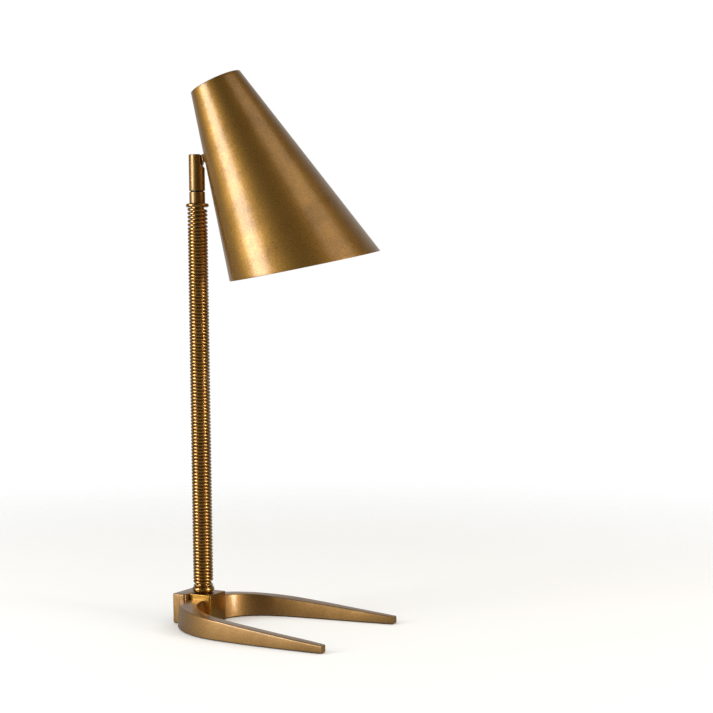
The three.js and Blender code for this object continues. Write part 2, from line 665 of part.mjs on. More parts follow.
function rimTool() {
  const size = SHADE_LENGTH * 4;
  return box(-size, size, -size, size, -size, 0)
    .rotateY(RIM_SLANT * RAD)
    .rotateZ(RIM_CLOCK * RAD)
    .translate(0, 0, -SHADE_LENGTH);
}

function hingeHoles(radius, from, to) {
  return [-1, 1].map((side) => (
    toShade(barAlongX(radius, from, to, side * LEAF_SCREW_OFFSET, 0, 16))
  ));
}

function makeShade() {
  const wall = turned([
    [shadeRadius(DEEPEST, -SHADE_WALL), -DEEPEST],
    [shadeRadius(DEEPEST), -DEEPEST],
    [shadeRadius(0), 0],
    [shadeRadius(0, -SHADE_WALL), 0],
    [shadeRadius(DEEPEST, -SHADE_WALL), -DEEPEST],
  ], SHADE_SIDES);
  const holeEnd = STANDOFF + SHADE_WALL + 3;
  return cut(
    wall,
    rimTool(),
    ...hingeHoles(LEAF_SCREW_RADIUS + SEAT_GAP, STANDOFF - 2, holeEnd),
    toShade(barAlongX(LEAD_HOLE, STANDOFF - 2, holeEnd, 0, 0, 16)),
  );
}

const PLATE_BACK = STANDOFF + SHADE_WALL + SEAT_GAP; // where the backing plate meets the inner wall
const PLATE_FRONT = PLATE_BACK + PLATE_THICKNESS;

function makeLeaf() {
  const half = LEAF_THICKNESS / 2;
  const footBack = STANDOFF - SEAT_GAP - FOOT_THICKNESS;
  const body = join(
    barAlongY(LEAF_RADIUS, -half, half, 0, 0, 28),
    box(0, footBack + 0.5, -half, half, -LEAF_RADIUS, FOOT_UP),
    box(0, LEAF_BELLY_FRONT, -half, half, -LEAF_BELLY, 0),
    box(footBack, STANDOFF + 3, -FOOT_HALF_WIDTH, FOOT_HALF_WIDTH, -FOOT_DOWN, FOOT_UP),
  );
  return cut(
    toShade(body),
    shadeCone(SEAT_GAP, DEEPEST),
    ...hingeHoles(LEAF_SCREW_RADIUS + SEAT_GAP, footBack - 1, STANDOFF + 5),
    toShade(barAlongX(LEAD_HOLE, -LEAF_RADIUS - 1, STANDOFF + 5, 0, 0, 16)),
    toShade(barAlongY(PIN_RADIUS + RUN_GAP, PIN_INNER - SEAT_GAP, half + 1, 0, 0)),
    toShade(barAlongY(PIN_RADIUS + RUN_GAP, -half - 1, SEAT_GAP - PIN_INNER, 0, 0)),
  );
}

function makeLeafPlate() {
  const slab = toShade(
    box(PLATE_BACK - 2, PLATE_FRONT, -FOOT_HALF_WIDTH, FOOT_HALF_WIDTH, -FOOT_DOWN, FOOT_UP),
  );
  return cut(
    common(slab, shadeCone(-SHADE_WALL - SEAT_GAP, DEEPEST)),
    ...hingeHoles(LEAF_SCREW_RADIUS + SEAT_GAP, PLATE_BACK - 3, PLATE_FRONT + 1),
    toShade(barAlongX(LEAD_HOLE, PLATE_BACK - 3, PLATE_FRONT + 1, 0, 0, 16)),
  );
}

function makeLeafScrew(side) {
  const seat = PLATE_FRONT + SEAT_GAP;
  const y = side * LEAF_SCREW_OFFSET;
  return toShade(join(
    barAlongX(LEAF_SCREW_RADIUS, STANDOFF - SEAT_GAP - FOOT_THICKNESS + 0.3, seat + 0.2, y, 0, 16),
    barAlongX(LEAF_SCREW_HEAD, seat, seat + 1.4, y, 0, 20),
  ));
}

const CAP_BOTTOM = CAP_DEPTH + CAP_THICKNESS; // both are depths below the top edge
const CAP_HOLE = NIPPLE_RADIUS + SEAT_GAP;

function makeShadeCap() {
  const inset = -SHADE_WALL - SEAT_GAP;
  const disc = turned([
    [CAP_HOLE, -CAP_BOTTOM],
    [shadeRadius(CAP_BOTTOM, inset), -CAP_BOTTOM],
    [shadeRadius(CAP_DEPTH, inset), -CAP_DEPTH],
    [CAP_HOLE, -CAP_DEPTH],
    [CAP_HOLE, -CAP_BOTTOM],
  ], 48);
  const vents = Array.from({ length: VENT_COUNT }, (_, i) => {
    const angle = (i / VENT_COUNT) * 2 * Math.PI;
    return bar(VENT_RADIUS, -CAP_BOTTOM - 1, -CAP_DEPTH + 1, 10)
      .translate(VENT_CIRCLE * Math.cos(angle), VENT_CIRCLE * Math.sin(angle), 0);
  });
  return cut(disc, ...vents);
}

// Domed nut on the nipple, above the cap disc.
function makeCapNut() {
  const bottom = SEAT_GAP - CAP_DEPTH;
  const bore = NIPPLE_RADIUS + SEAT_GAP;
  const boreTop = NIPPLE_PROUD - CAP_DEPTH + SEAT_GAP;
  const profile = [[bore, bottom], [CAP_NUT_RADIUS, bottom]];
  const steps = 4;
  for (let i = 0; i <= steps; i += 1) {
    const angle = (i / steps) * Math.PI / 2;
    const height = 1.2 + (CAP_NUT_HEIGHT - 1.2) * Math.sin(angle);
    profile.push([CAP_NUT_RADIUS * Math.cos(angle), bottom + height]);
  }
  profile[profile.length - 1][0] = 0;
  profile.push([0, boreTop], [bore, boreTop], [bore, bottom]);
  return turned(profile, 24);
}

const HOLDER_TOP = CAP_BOTTOM + SEAT_GAP;
const HOLDER_JOINT = HOLDER_TOP + HOLDER_CAP_HEIGHT;
const HOLDER_BOTTOM = HOLDER_JOINT + SEAT_GAP + HOLDER_BODY_HEIGHT;
const KNOB_DEPTH = HOLDER_JOINT + KNOB_DROP;
const LEAD_ENTRY = HOLDER_TOP + HOLDER_CAP_HEIGHT * 0.55;

function makeHolderCap() {
  const inner = HOLDER_RADIUS - HOLDER_WALL;
  const bore = NIPPLE_RADIUS + SEAT_GAP;
  const shoulder = HOLDER_TOP + 4;
  const body = turned([
    [inner, -HOLDER_JOINT],
    [HOLDER_RADIUS, -HOLDER_JOINT],
    [HOLDER_RADIUS, -HOLDER_TOP - HOLDER_CAP_HEIGHT * 0.62],
    [HOLDER_RADIUS - 2.4, -HOLDER_TOP - HOLDER_CAP_HEIGHT * 0.42],
    [HOLDER_RADIUS - 8, -shoulder],
    [bore + 2.4, -shoulder],
    [bore + 2.4, -HOLDER_TOP],
    [bore, -HOLDER_TOP],
    [bore, -shoulder - HOLDER_WALL],
    [HOLDER_RADIUS - 8.6, -shoulder - HOLDER_WALL],
    [inner - 2.2, -HOLDER_TOP - HOLDER_CAP_HEIGHT * 0.46],
    [inner, -HOLDER_TOP - HOLDER_CAP_HEIGHT * 0.64],
    [inner, -HOLDER_JOINT],
  ], 28);
  const entry = barAlongX(LEAD_RADIUS + 0.6, -HOLDER_RADIUS - 1, 0, 0, -LEAD_ENTRY, 16);
  return cut(body, entry);
}

function makeHolderBody() {
  const body = ring(
    HOLDER_RADIUS - HOLDER_WALL,
    HOLDER_RADIUS,
    -HOLDER_BOTTOM,
    -HOLDER_JOINT - SEAT_GAP,
    0.5,
    28,
  );
  const shaftHole = barAlongY(SHAFT_RADIUS + RUN_GAP, 0, HOLDER_RADIUS + 1, 0, -KNOB_DEPTH);
  return cut(body, shaftHole);
}

const CONTACT_TOP = HOLDER_JOINT + 14;
const BULB_CAP_TOP = CONTACT_TOP + CONTACT_HEIGHT + SEAT_GAP;
const BULB_CAP_BOTTOM = BULB_CAP_TOP + BULB_CAP_LENGTH;

// Screw cap of the bulb with its shallow rolled thread; open at the bottom for the glass.
function makeBulbCap() {
  const shell = BULB_CAP_RADIUS - 0.6;
  const profile = [[shell - 0.6, -BULB_CAP_BOTTOM], [BULB_CAP_RADIUS, -BULB_CAP_BOTTOM]];
  const turns = 3;
  const pitch = (BULB_CAP_LENGTH - 8) / turns;
  for (let i = 0; i < turns; i += 1) {
    const height = -BULB_CAP_BOTTOM + 2 + i * pitch;
    profile.push([shell, height], [BULB_CAP_RADIUS, height + pitch / 2]);
  }
  profile.push(
    [shell, -BULB_CAP_TOP - 5],
    [4.8, -BULB_CAP_TOP - 1.6],
    [3.2, -BULB_CAP_TOP],
    [0, -BULB_CAP_TOP],
    [0, -BULB_CAP_TOP - 2.4],
    [shell - 2, -BULB_CAP_TOP - 6.4],
    [shell - 0.6, -BULB_CAP_TOP - 7.4],
    [shell - 0.6, -BULB_CAP_BOTTOM],
  );
  return turned(profile, 24);
}

// Bulb glass: a neck that swells into a globe, blown thin and open at the neck.
function makeBulbGlass() {
  const neck = BULB_CAP_RADIUS - 1.2 - SEAT_GAP;
  const top = BULB_CAP_BOTTOM - 3;
  const bottom = top + 3 + BULB_LENGTH;
  const globe = bottom - BULB_RADIUS;
  const outline = (shrink) => {
    const shape = new THREE.Path();
    shape.moveTo(neck - shrink, -top);
    shape.lineTo(neck - shrink, -top - 6);
    shape.bezierCurveTo(
      neck - shrink,
      -top - 20,
      BULB_RADIUS - shrink,
      -globe + 22,
      BULB_RADIUS - shrink,
      -globe,
    );
    shape.absarc(0, -globe, BULB_RADIUS - shrink, 0, -Math.PI / 2, true);
    return shape.getPoints(5).map((point) => [Math.max(point.x, 0), point.y]);
  };
  const outside = outline(0).reverse();
  const inside = outline(BULB_WALL);
  outside[0][0] = 0;
  inside[inside.length - 1][0] = 0;
  return turned([...outside, ...inside, outside[0]], 28);
}

function makeKnob() {
  const inner = HOLDER_RADIUS + 1.2;
  const profile = [
    [0, inner],
    [KNOB_RADIUS - 0.6, inner],
    [KNOB_RADIUS, inner + 0.6],
    [KNOB_RADIUS, inner + KNOB_LENGTH - 1],
    [KNOB_RADIUS - 1, inner + KNOB_LENGTH],
    [0, inner + KNOB_LENGTH],
  ];
  const knob = turned(profile, 24);
  const shaft = bar(SHAFT_RADIUS, HOLDER_RADIUS - HOLDER_WALL - 1.2, inner + 0.5, 20);
  return join(knob, shaft).rotateX(-Math.PI / 2).translate(0, 0, -KNOB_DEPTH);
}

const shade = new THREE.Group();
shade.rotation.y = -SHADE_TILT * RAD;
const pivotInHead = new THREE.Vector3(hingeX, 0, hingeZ).applyEuler(shade.rotation);
shade.position.set(-pivotInHead.x, 0, PIVOT_HEIGHT - pivotInHead.z);
head.add(shade);

const nippleBottom = CAP_DEPTH - NIPPLE_PROUD + NIPPLE_LENGTH;
shade.add(piece('shade', makeShade(), SATIN_BRASS));
shade.add(piece('hinge_leaf', makeLeaf(), SATIN_BRASS));
shade.add(piece('leaf_plate', makeLeafPlate(), STEEL));
shade.add(piece('leaf_screw_left', makeLeafScrew(1), STEEL));
shade.add(piece('leaf_screw_right', makeLeafScrew(-1), STEEL));
shade.add(piece('shade_cap', makeShadeCap(), SATIN_BRASS));
shade.add(piece('cap_nut', makeCapNut(), POLISHED_BRASS));
const nipple = ring(NIPPLE_BORE, NIPPLE_RADIUS, -nippleBottom, NIPPLE_PROUD - CAP_DEPTH, 0.4, 24);
shade.add(piece('holder_nipple', nipple, STEEL));
shade.add(piece('holder_cap', makeHolderCap(), PHENOLIC));
shade.add(piece('holder_body', makeHolderBody(), PHENOLIC));
const contactBlock = bar(CONTACT_RADIUS, -CONTACT_TOP - CONTACT_HEIGHT, -CONTACT_TOP, 28);
shade.add(piece('contact_block', contactBlock, STEATITE));
shade.add(piece('bulb_cap', makeBulbCap(), STEEL));
shade.add(piece('bulb_glass', makeBulbGlass(), OPAL_GLASS));
shade.add(piece('switch_knob', makeKnob(), PHENOLIC));

// ---- Leads ----
// Inside the base and stem: in from the gland, up the tube and through the swivel to the foot of the slot.
const leadBend = [
  [-BAR_REAR + 6, 0, OUTLET_HEIGHT],
  [-12, 0, OUTLET_HEIGHT],
  [-6.2, 0, OUTLET_HEIGHT + 0.3],
  [-2, 0, OUTLET_HEIGHT + 3],
  [0, 0, OUTLET_HEIGHT + 9],
  [0, 0, OUTLET_HEIGHT + 16],
];
const leadRise = bar(LEAD_RADIUS, OUTLET_HEIGHT + 15, SLOT_BOTTOM - 1, 6);
stem.add(piece('stem_lead', join(lead(leadBend, 14), leadRise), CABLE_SLEEVE));

// Inside the shade: from the hinge, past the holder's body, to the side of the holder's cap.
const wallX = -(SHADE_TOP_RADIUS + HINGE_DROP * SIN);
const wallZ = -HINGE_DROP * COS;
const leadToHolder = [
  [wallX + 3.4 * COS, 0, wallZ - 3.4 * SIN],
  [wallX + 8 * COS, 0, wallZ - 8 * SIN],
  [-HOLDER_RADIUS - 11, 0, wallZ - 0.5],
  [-HOLDER_RADIUS - 6.5, 0, wallZ + 8],
  [-HOLDER_RADIUS - 5, 0, -HOLDER_BOTTOM + 2],
  [-HOLDER_RADIUS - 5, 0, -HOLDER_JOINT],
  [-HOLDER_RADIUS - 2, 0, -LEAD_ENTRY - 1.5],
  [-HOLDER_RADIUS + 3, 0, -LEAD_ENTRY],
];
shade.add(piece('shade_lead', lead(leadToHolder, 28), CABLE_SLEEVE));

const lamp = new THREE.Group();
lamp.add(base, stem, head);

export default lamp;
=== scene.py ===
"""Looks of an aged brass desk lamp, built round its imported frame.

A wishbone base and the block set in it carry an upright tube wound with brass wire. A slotted knuckle swivels
on the tube's neck, and a conical shade of brass sheet tilts in the knuckle on a small leaf. The lampholder
and bulb hang under a disc inside the shade. Sizes are in millimetres in the classes; meshes are in metres.
"""
import json
import logging
import math
from dataclasses import dataclass
from enum import Enum

import bmesh
import bpy
import numpy as np
from mathutils import Euler, Matrix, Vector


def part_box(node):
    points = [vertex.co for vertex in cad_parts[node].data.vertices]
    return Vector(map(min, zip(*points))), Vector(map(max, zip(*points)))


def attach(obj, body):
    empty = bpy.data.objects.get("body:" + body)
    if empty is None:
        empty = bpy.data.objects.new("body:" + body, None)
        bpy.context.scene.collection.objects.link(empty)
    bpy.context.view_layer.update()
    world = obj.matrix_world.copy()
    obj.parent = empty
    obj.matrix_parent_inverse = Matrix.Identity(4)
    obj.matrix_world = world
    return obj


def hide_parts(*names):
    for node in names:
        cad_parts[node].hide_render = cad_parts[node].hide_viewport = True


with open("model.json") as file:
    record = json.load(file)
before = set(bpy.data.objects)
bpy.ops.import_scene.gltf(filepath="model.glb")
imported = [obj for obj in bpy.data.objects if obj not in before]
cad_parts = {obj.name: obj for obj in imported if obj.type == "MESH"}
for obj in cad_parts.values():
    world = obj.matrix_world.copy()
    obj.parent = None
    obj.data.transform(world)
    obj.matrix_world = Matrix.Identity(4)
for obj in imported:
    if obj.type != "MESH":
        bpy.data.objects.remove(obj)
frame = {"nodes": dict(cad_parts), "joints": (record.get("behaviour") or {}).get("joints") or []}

MM = 0.001
SEAT_GAP = 0.3  # between pieces that seat on or in each other, as in the frame
SHY = 0.01  # keeps the faces of joined solids out of one plane
PINHOLE = 0.01  # the outlines of the nut and the knob stop this far from the axis
LOG = logging.getLogger("lamp")


# ---------------------------------------------------------------- placing and building surfaces


@dataclass(frozen=True)
class Placement:
    """Where a sub-assembly's own axes lie in the lamp's frame."""

    turn: np.ndarray
    origin: np.ndarray

    def place(self, points: np.ndarray) -> np.ndarray:
        """Own coordinates to the lamp's: each point times the turn, plus the origin."""
        return points @ self.turn.T + self.origin

    def within(self, turn: np.ndarray, origin: np.ndarray) -> "Placement":
        """A placement given in this one's axes, as one in the lamp's."""
        return Placement(self.turn @ turn, self.place(origin))

    def tilt_angles(self) -> Euler:
        """The turn as Euler angles, for a texture mapping."""
        return Matrix(self.turn.tolist()).to_euler()


def turned_about_z(degrees: float) -> np.ndarray:
    """Rotation matrix about Z.

    Args:
        degrees: The angle.

    Returns:
        The 3 by 3 matrix.
    """
    angle = math.radians(degrees)
    cosine, sine = math.cos(angle), math.sin(angle)
    return np.array([[cosine, -sine, 0], [sine, cosine, 0], [0, 0, 1]])


def turned_about_y(degrees: float) -> np.ndarray:
    """Rotation matrix about Y.

    Args:
        degrees: The angle.

    Returns:
        The 3 by 3 matrix.
    """
    angle = math.radians(degrees)
    cosine, sine = math.cos(angle), math.sin(angle)
    return np.array([[cosine, 0, sine], [0, 1, 0], [-sine, 0, cosine]])


UPRIGHT = Placement(np.eye(3), np.zeros(3))


def grid_mesh(name: str, points: np.ndarray, closed_rows: bool, closed_columns: bool) -> bpy.types.Mesh:
    """A mesh of four-sided faces over a grid of points, its doubled points merged and its faces outward.

    Args:
        name: Name of the mesh.
        points: Array (rows, columns, 3) in millimetres, in the lamp's frame.
        closed_rows: The last row joins the first.
        closed_columns: The last column joins the first.

    Returns:
        The mesh, in metres.
    """
    rows, columns = points.shape[:2]
    down = np.arange(rows if closed_rows else rows - 1)
    across = np.arange(columns if closed_columns else columns - 1)
    i, j = (index.ravel() for index in np.meshgrid(down, across, indexing="ij"))
    next_i, next_j = (i + 1) % rows, (j + 1) % columns
    corners = np.stack([
        i * columns + j, i * columns + next_j, next_i * columns + next_j, next_i * columns + j,
    ], -1)
    mesh = bpy.data.meshes.new(name)
    mesh.vertices.add(rows * columns)
    mesh.vertices.foreach_set("co", (points.reshape(-1) * MM).astype(np.float32))
    mesh.loops.add(corners.size)
    mesh.loops.foreach_set("vertex_index", corners.ravel().astype(np.int32))
    mesh.polygons.add(len(corners))
    mesh.polygons.foreach_set("loop_start", np.arange(0, corners.size, 4, dtype=np.int32))
    mesh.update(calc_edges=True)
    mesh.validate()
    shell = bmesh.new()
    shell.from_mesh(mesh)
    bmesh.ops.remove_doubles(shell, verts=shell.verts, dist=1e-7)
    bmesh.ops.recalc_face_normals(shell, faces=shell.faces)
    shell.to_mesh(mesh)
    shell.free()
    return mesh


def as_object(mesh: bpy.types.Mesh) -> bpy.types.Object:
    """A mesh as an object at the origin, linked to the scene.

    Args:
        mesh: The finished mesh.

    Returns:
        The piece.
    """
    thing = bpy.data.objects.new(mesh.name, mesh)
    bpy.context.scene.collection.objects.link(thing)
    return thing


def turned_grid(profile: np.ndarray, sides: int) -> np.ndarray:
    """A surface of revolution about Z: each profile point [radius, height] swept round a circle.

    Args:
        profile: Array (n, 2).
        sides: Steps round the circle.

    Returns:
        Array (n, sides, 3).
    """
    angle = np.linspace(0, 2 * np.pi, sides, endpoint=False)
    radius, height = profile[:, :1], profile[:, 1:]
    return np.stack([radius * np.cos(angle), radius * np.sin(angle), height + 0 * angle], -1)


def rounded_outline(corners: list[tuple[float, float, float]], steps: int = 6) -> np.ndarray:
    """A closed outline whose corners are rounded by arcs.

    Each corner is given as (a, b, radius). The arc leaves and joins the two edges at radius / tan(half the
    corner's angle) from the corner; with radius 0 the corner stays sharp.

    Args:
        corners: The outline's corners in order.
        steps: Steps along each arc.

    Returns:
        Array (n, 2).
    """
    points = []
    count = len(corners)
    for index, (a, b, radius) in enumerate(corners):
        here = np.array([a, b])
        if radius <= 0:
            points.append(here[None])
            continue
        back = np.array(corners[index - 1][:2]) - here
        ahead = np.array(corners[(index + 1) % count][:2]) - here
        back, ahead = back / np.linalg.norm(back), ahead / np.linalg.norm(ahead)
        half = math.acos(float(np.clip(back @ ahead, -1, 1))) / 2
        middle = here + (back + ahead) / np.linalg.norm(back + ahead) * radius / math.sin(half)
        start, end = here + back * radius / math.tan(half), here + ahead * radius / math.tan(half)
        share = np.linspace(0, 1, steps + 1)[:, None]
        sweep = np.pi - 2 * half
        arc = (start - middle) * np.sin((1 - share) * sweep) + (end - middle) * np.sin(share * sweep)
        points.append(middle + arc / math.sin(sweep))
    return np.concatenate(points)


def turned_mesh(
    name: str, corners: list[tuple[float, float, float]], placement: Placement = UPRIGHT, sides: int = 96,
    steps: int = 6, hollow: bool = True,
) -> bpy.types.Mesh:
    """A turned piece: a rounded outline [radius, height, corner radius] swept about the placement's Z.

    A hollow piece's outline closes on itself; a solid one's starts and ends on the axis.
    """
    grid = turned_grid(rounded_outline(corners, steps), sides)
    return grid_mesh(name, placement.place(grid), hollow, True)


def block_mesh(
    name: str, low: tuple[float, float, float], high: tuple[float, float, float], corner: float,
    edge: float, placement: Placement = UPRIGHT,
) -> bpy.types.Mesh:
    """A block with rounded upright corners and rounded upper and lower edges.

    A plan point is the core rectangle's corner plus the corner circle; towards the top and bottom the circle
    shrinks by edge times (1 - cosine), while the height rises by edge times the sine.

    Args:
        name: Name of the mesh.
        low: The block's lowest corner.
        high: Its highest corner.
        corner: Radius of the upright corners.
        edge: Radius of the upper and lower edges.
        placement: Where the piece's own axes lie.

    Returns:
        The mesh, in metres.
    """
    middle = (np.array(low) + np.array(high)) / 2
    half = (np.array(high) - np.array(low)) / 2
    around = np.linspace(0, 2 * np.pi, 4 * 8, endpoint=False) + np.pi / 32
    signs = np.stack([np.sign(np.cos(around)), np.sign(np.sin(around))], -1)
    circle = np.stack([np.cos(around), np.sin(around)], -1)
    rise = np.linspace(0, np.pi / 2, 6)
    inset = np.concatenate([edge * (1 - np.sin(rise)), edge * (1 - np.cos(rise))])
    height = np.concatenate([-half[2] + edge * (1 - np.cos(rise)), half[2] - edge * (1 - np.sin(rise))])
    core = signs * (half[:2] - corner)
    plan = core[None] + circle[None] * (corner - inset[:, None, None])
    body = np.concatenate([plan, np.broadcast_to(height[:, None, None], (*plan.shape[:2], 1))], -1)
    lower = np.broadcast_to([0, 0, -half[2]], (1, *body.shape[1:]))
    upper = np.broadcast_to([0, 0, half[2]], (1, *body.shape[1:]))
    grid = np.concatenate([lower, body, upper]) + middle
    return grid_mesh(name, placement.place(grid), False, True)


def rod_mesh(
    name: str, start: np.ndarray, end: np.ndarray, radius: float, placement: Placement = UPRIGHT,
    sides: int = 48, chamfer: float = 0.0,
) -> bpy.types.Mesh:
    """A round rod between two points: rings closed by a point at the middle of each end.

    Args:
        name: Name of the mesh.
        start: Middle of the first end.
        end: Middle of the other end.
        radius: Radius of the rod.
        placement: Where the piece's own axes lie.
        sides: Steps round the circle.
        chamfer: Chamfer at each end.

    Returns:
        The mesh, in metres.
    """
    start, end = np.array(start, float), np.array(end, float)
    along = end - start
    length = float(np.linalg.norm(along))
    along = along / length
    side = np.cross(along, [0.0, 0.0, 1.0] if abs(along[2]) < 0.9 else [1.0, 0.0, 0.0])
    side = side / np.linalg.norm(side)
    up = np.cross(along, side)
    angle = np.linspace(0, 2 * np.pi, sides, endpoint=False)
    radii = np.array([0, radius - chamfer, radius, radius, radius - chamfer, 0])
    places = np.array([0, 0, chamfer, length - chamfer, length, length])
    ring = np.cos(angle)[:, None] * side + np.sin(angle)[:, None] * up
    grid = start + places[:, None, None] * along + radii[:, None, None] * ring
    return grid_mesh(name, placement.place(grid), False, True)


def bezier(control: list[tuple[float, float]], t: np.ndarray) -> np.ndarray:
    """Points of a Bezier curve: the sum of its control points times the Bernstein polynomials of t.

    Args:
        control: The curve's control points.
        t: Places along the curve, from 0 to 1.

    Returns:
        Array of points.
    """
    degree = len(control) - 1
    order = np.arange(degree + 1)
    binomial = np.array([math.comb(degree, k) for k in order])
    weights = binomial * t[:, None] ** order * (1 - t[:, None]) ** (degree - order)
    return weights @ np.array(control, float)


class Joining(Enum):
    """How one solid acts on another."""

    CUT = "DIFFERENCE"
    ADD = "UNION"


def worked(mesh: bpy.types.Mesh, joining: Joining, *tools: bpy.types.Mesh) -> bpy.types.Mesh:
    """A solid cut by or joined to other solids.

    Args:
        mesh: The solid to work on.
        joining: What the tools do to it.
        tools: Closed meshes, which are used up.

    Returns:
        The worked mesh, under the first one's name.
    """
    name = mesh.name
    blank = as_object(mesh)
    helpers = [as_object(tool) for tool in tools]
    for helper in helpers:
        modifier = blank.modifiers.new("work", "BOOLEAN")
        modifier.operation = joining.value
        modifier.solver = "EXACT"
        modifier.object = helper
    graph = bpy.context.evaluated_depsgraph_get()
    result = bpy.data.meshes.new_from_object(blank.evaluated_get(graph))
    for thing in (blank, *helpers):
        old = thing.data
        bpy.data.objects.remove(thing)
        bpy.data.meshes.remove(old)
    result.name = name
    result.materials.clear()
    return result


@dataclass(frozen=True)
class Dressing:
    """What a finished piece rides on, stands for and is made of."""

    body: str
    slot: str
    material: bpy.types.Material
    replaces: tuple[str, ...] = ()
    crease: float = 32.0

    def finish(self, mesh: bpy.types.Mesh) -> bpy.types.Object:
        """Smooths a mesh up to the crease angle, gives it its material and ties it to the frame.

        Args:
            mesh: The finished mesh.

        Returns:
            The piece.
        """
        piece = as_object(mesh)
        mesh.polygons.foreach_set("use_smooth", np.ones(len(mesh.polygons), dtype=bool))
        mesh.set_sharp_from_angle(angle=math.radians(self.crease))
        mesh.materials.append(self.material)
        if self.replaces:
            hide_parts(*self.replaces)
        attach(piece, self.body)
        LOG.info("%s: %d faces on %s", piece.name, len(mesh.polygons), self.body)
        return piece


def dress_node(node: str, material: bpy.types.Material) -> None:
    """Gives a frame node that stays in view its material.

    Args:
        node: The frame node's name.
        material: The material.
    """
    mesh = frame["nodes"][node].data
    if not mesh.materials:
        mesh.materials.append(material)
    for index in range(len(mesh.materials)):
        mesh.materials[index] = material
    LOG.info("%s: frame node in %s", node, material.name)


# ---------------------------------------------------------------- finishes


def linear(colour: str) -> tuple[float, float, float, float]:
    """An sRGB hex colour as linear red, green, blue and alpha.

    Args:
        colour: The colour, as #rrggbb.

    Returns:
        Red, green, blue and alpha.
    """
    channels = [int(colour[index : index + 2], 16) / 255 for index in (1, 3, 5)]
    opened = [c / 12.92 if c <= 0.04045 else ((c + 0.055) / 1.055) ** 2.4 for c in channels]
    return (*opened, 1.0)


def add_node(
    tree: bpy.types.NodeTree, kind: str, settings: dict | None = None, inputs: dict | None = None,
    stops: list[tuple[float, str]] | None = None,
) -> bpy.types.Node:
    """Adds a shader node.

    Args:
        tree: The node tree.
        kind: The node's type name.
        settings: Attributes to set on it.
        inputs: Socket name or number to a value, or to the output socket that feeds it.
        stops: For a colour ramp, its (place, hex colour) stops.

    Returns:
        The node.
    """
    node = tree.nodes.new(kind)
    for key, value in (settings or {}).items():
        setattr(node, key, value)
    for key, value in (inputs or {}).items():
        if isinstance(value, bpy.types.NodeSocket):
            tree.links.new(value, node.inputs[key])
        else:
            node.inputs[key].default_value = value
    if stops:
        ramp = node.color_ramp.elements
        while len(ramp) < len(stops):
            ramp.new(0.5)
        for element, (place, colour) in zip(ramp, stops):
            element.position = place
            element.color = linear(colour)
    return node


def blank_material(name: str) -> tuple[bpy.types.Material, bpy.types.NodeTree]:
    """A node material with nothing but its output.

    Args:
        name: Name of the material.

    Returns:
        The material and its node tree.
    """
    material = bpy.data.materials.new(name)
    material.use_nodes = True
    material.node_tree.nodes.clear()
    return material, material.node_tree


def finish_material(tree: bpy.types.NodeTree, inputs: dict) -> None:
    """Ends a material in a principled shader with these inputs."""
    shader = add_node(tree, "ShaderNodeBsdfPrincipled", None, inputs)
    add_node(tree, "ShaderNodeOutputMaterial", None, {"Surface": shader.outputs[0]})


class Marks(Enum):
    """The direction that working the metal left in its surface."""

    NONE = "none"
    RINGS = "rings"  # about the placement's Z, from a lathe
    LENGTHWISE = "lengthwise"  # along the placement's X, from a belt


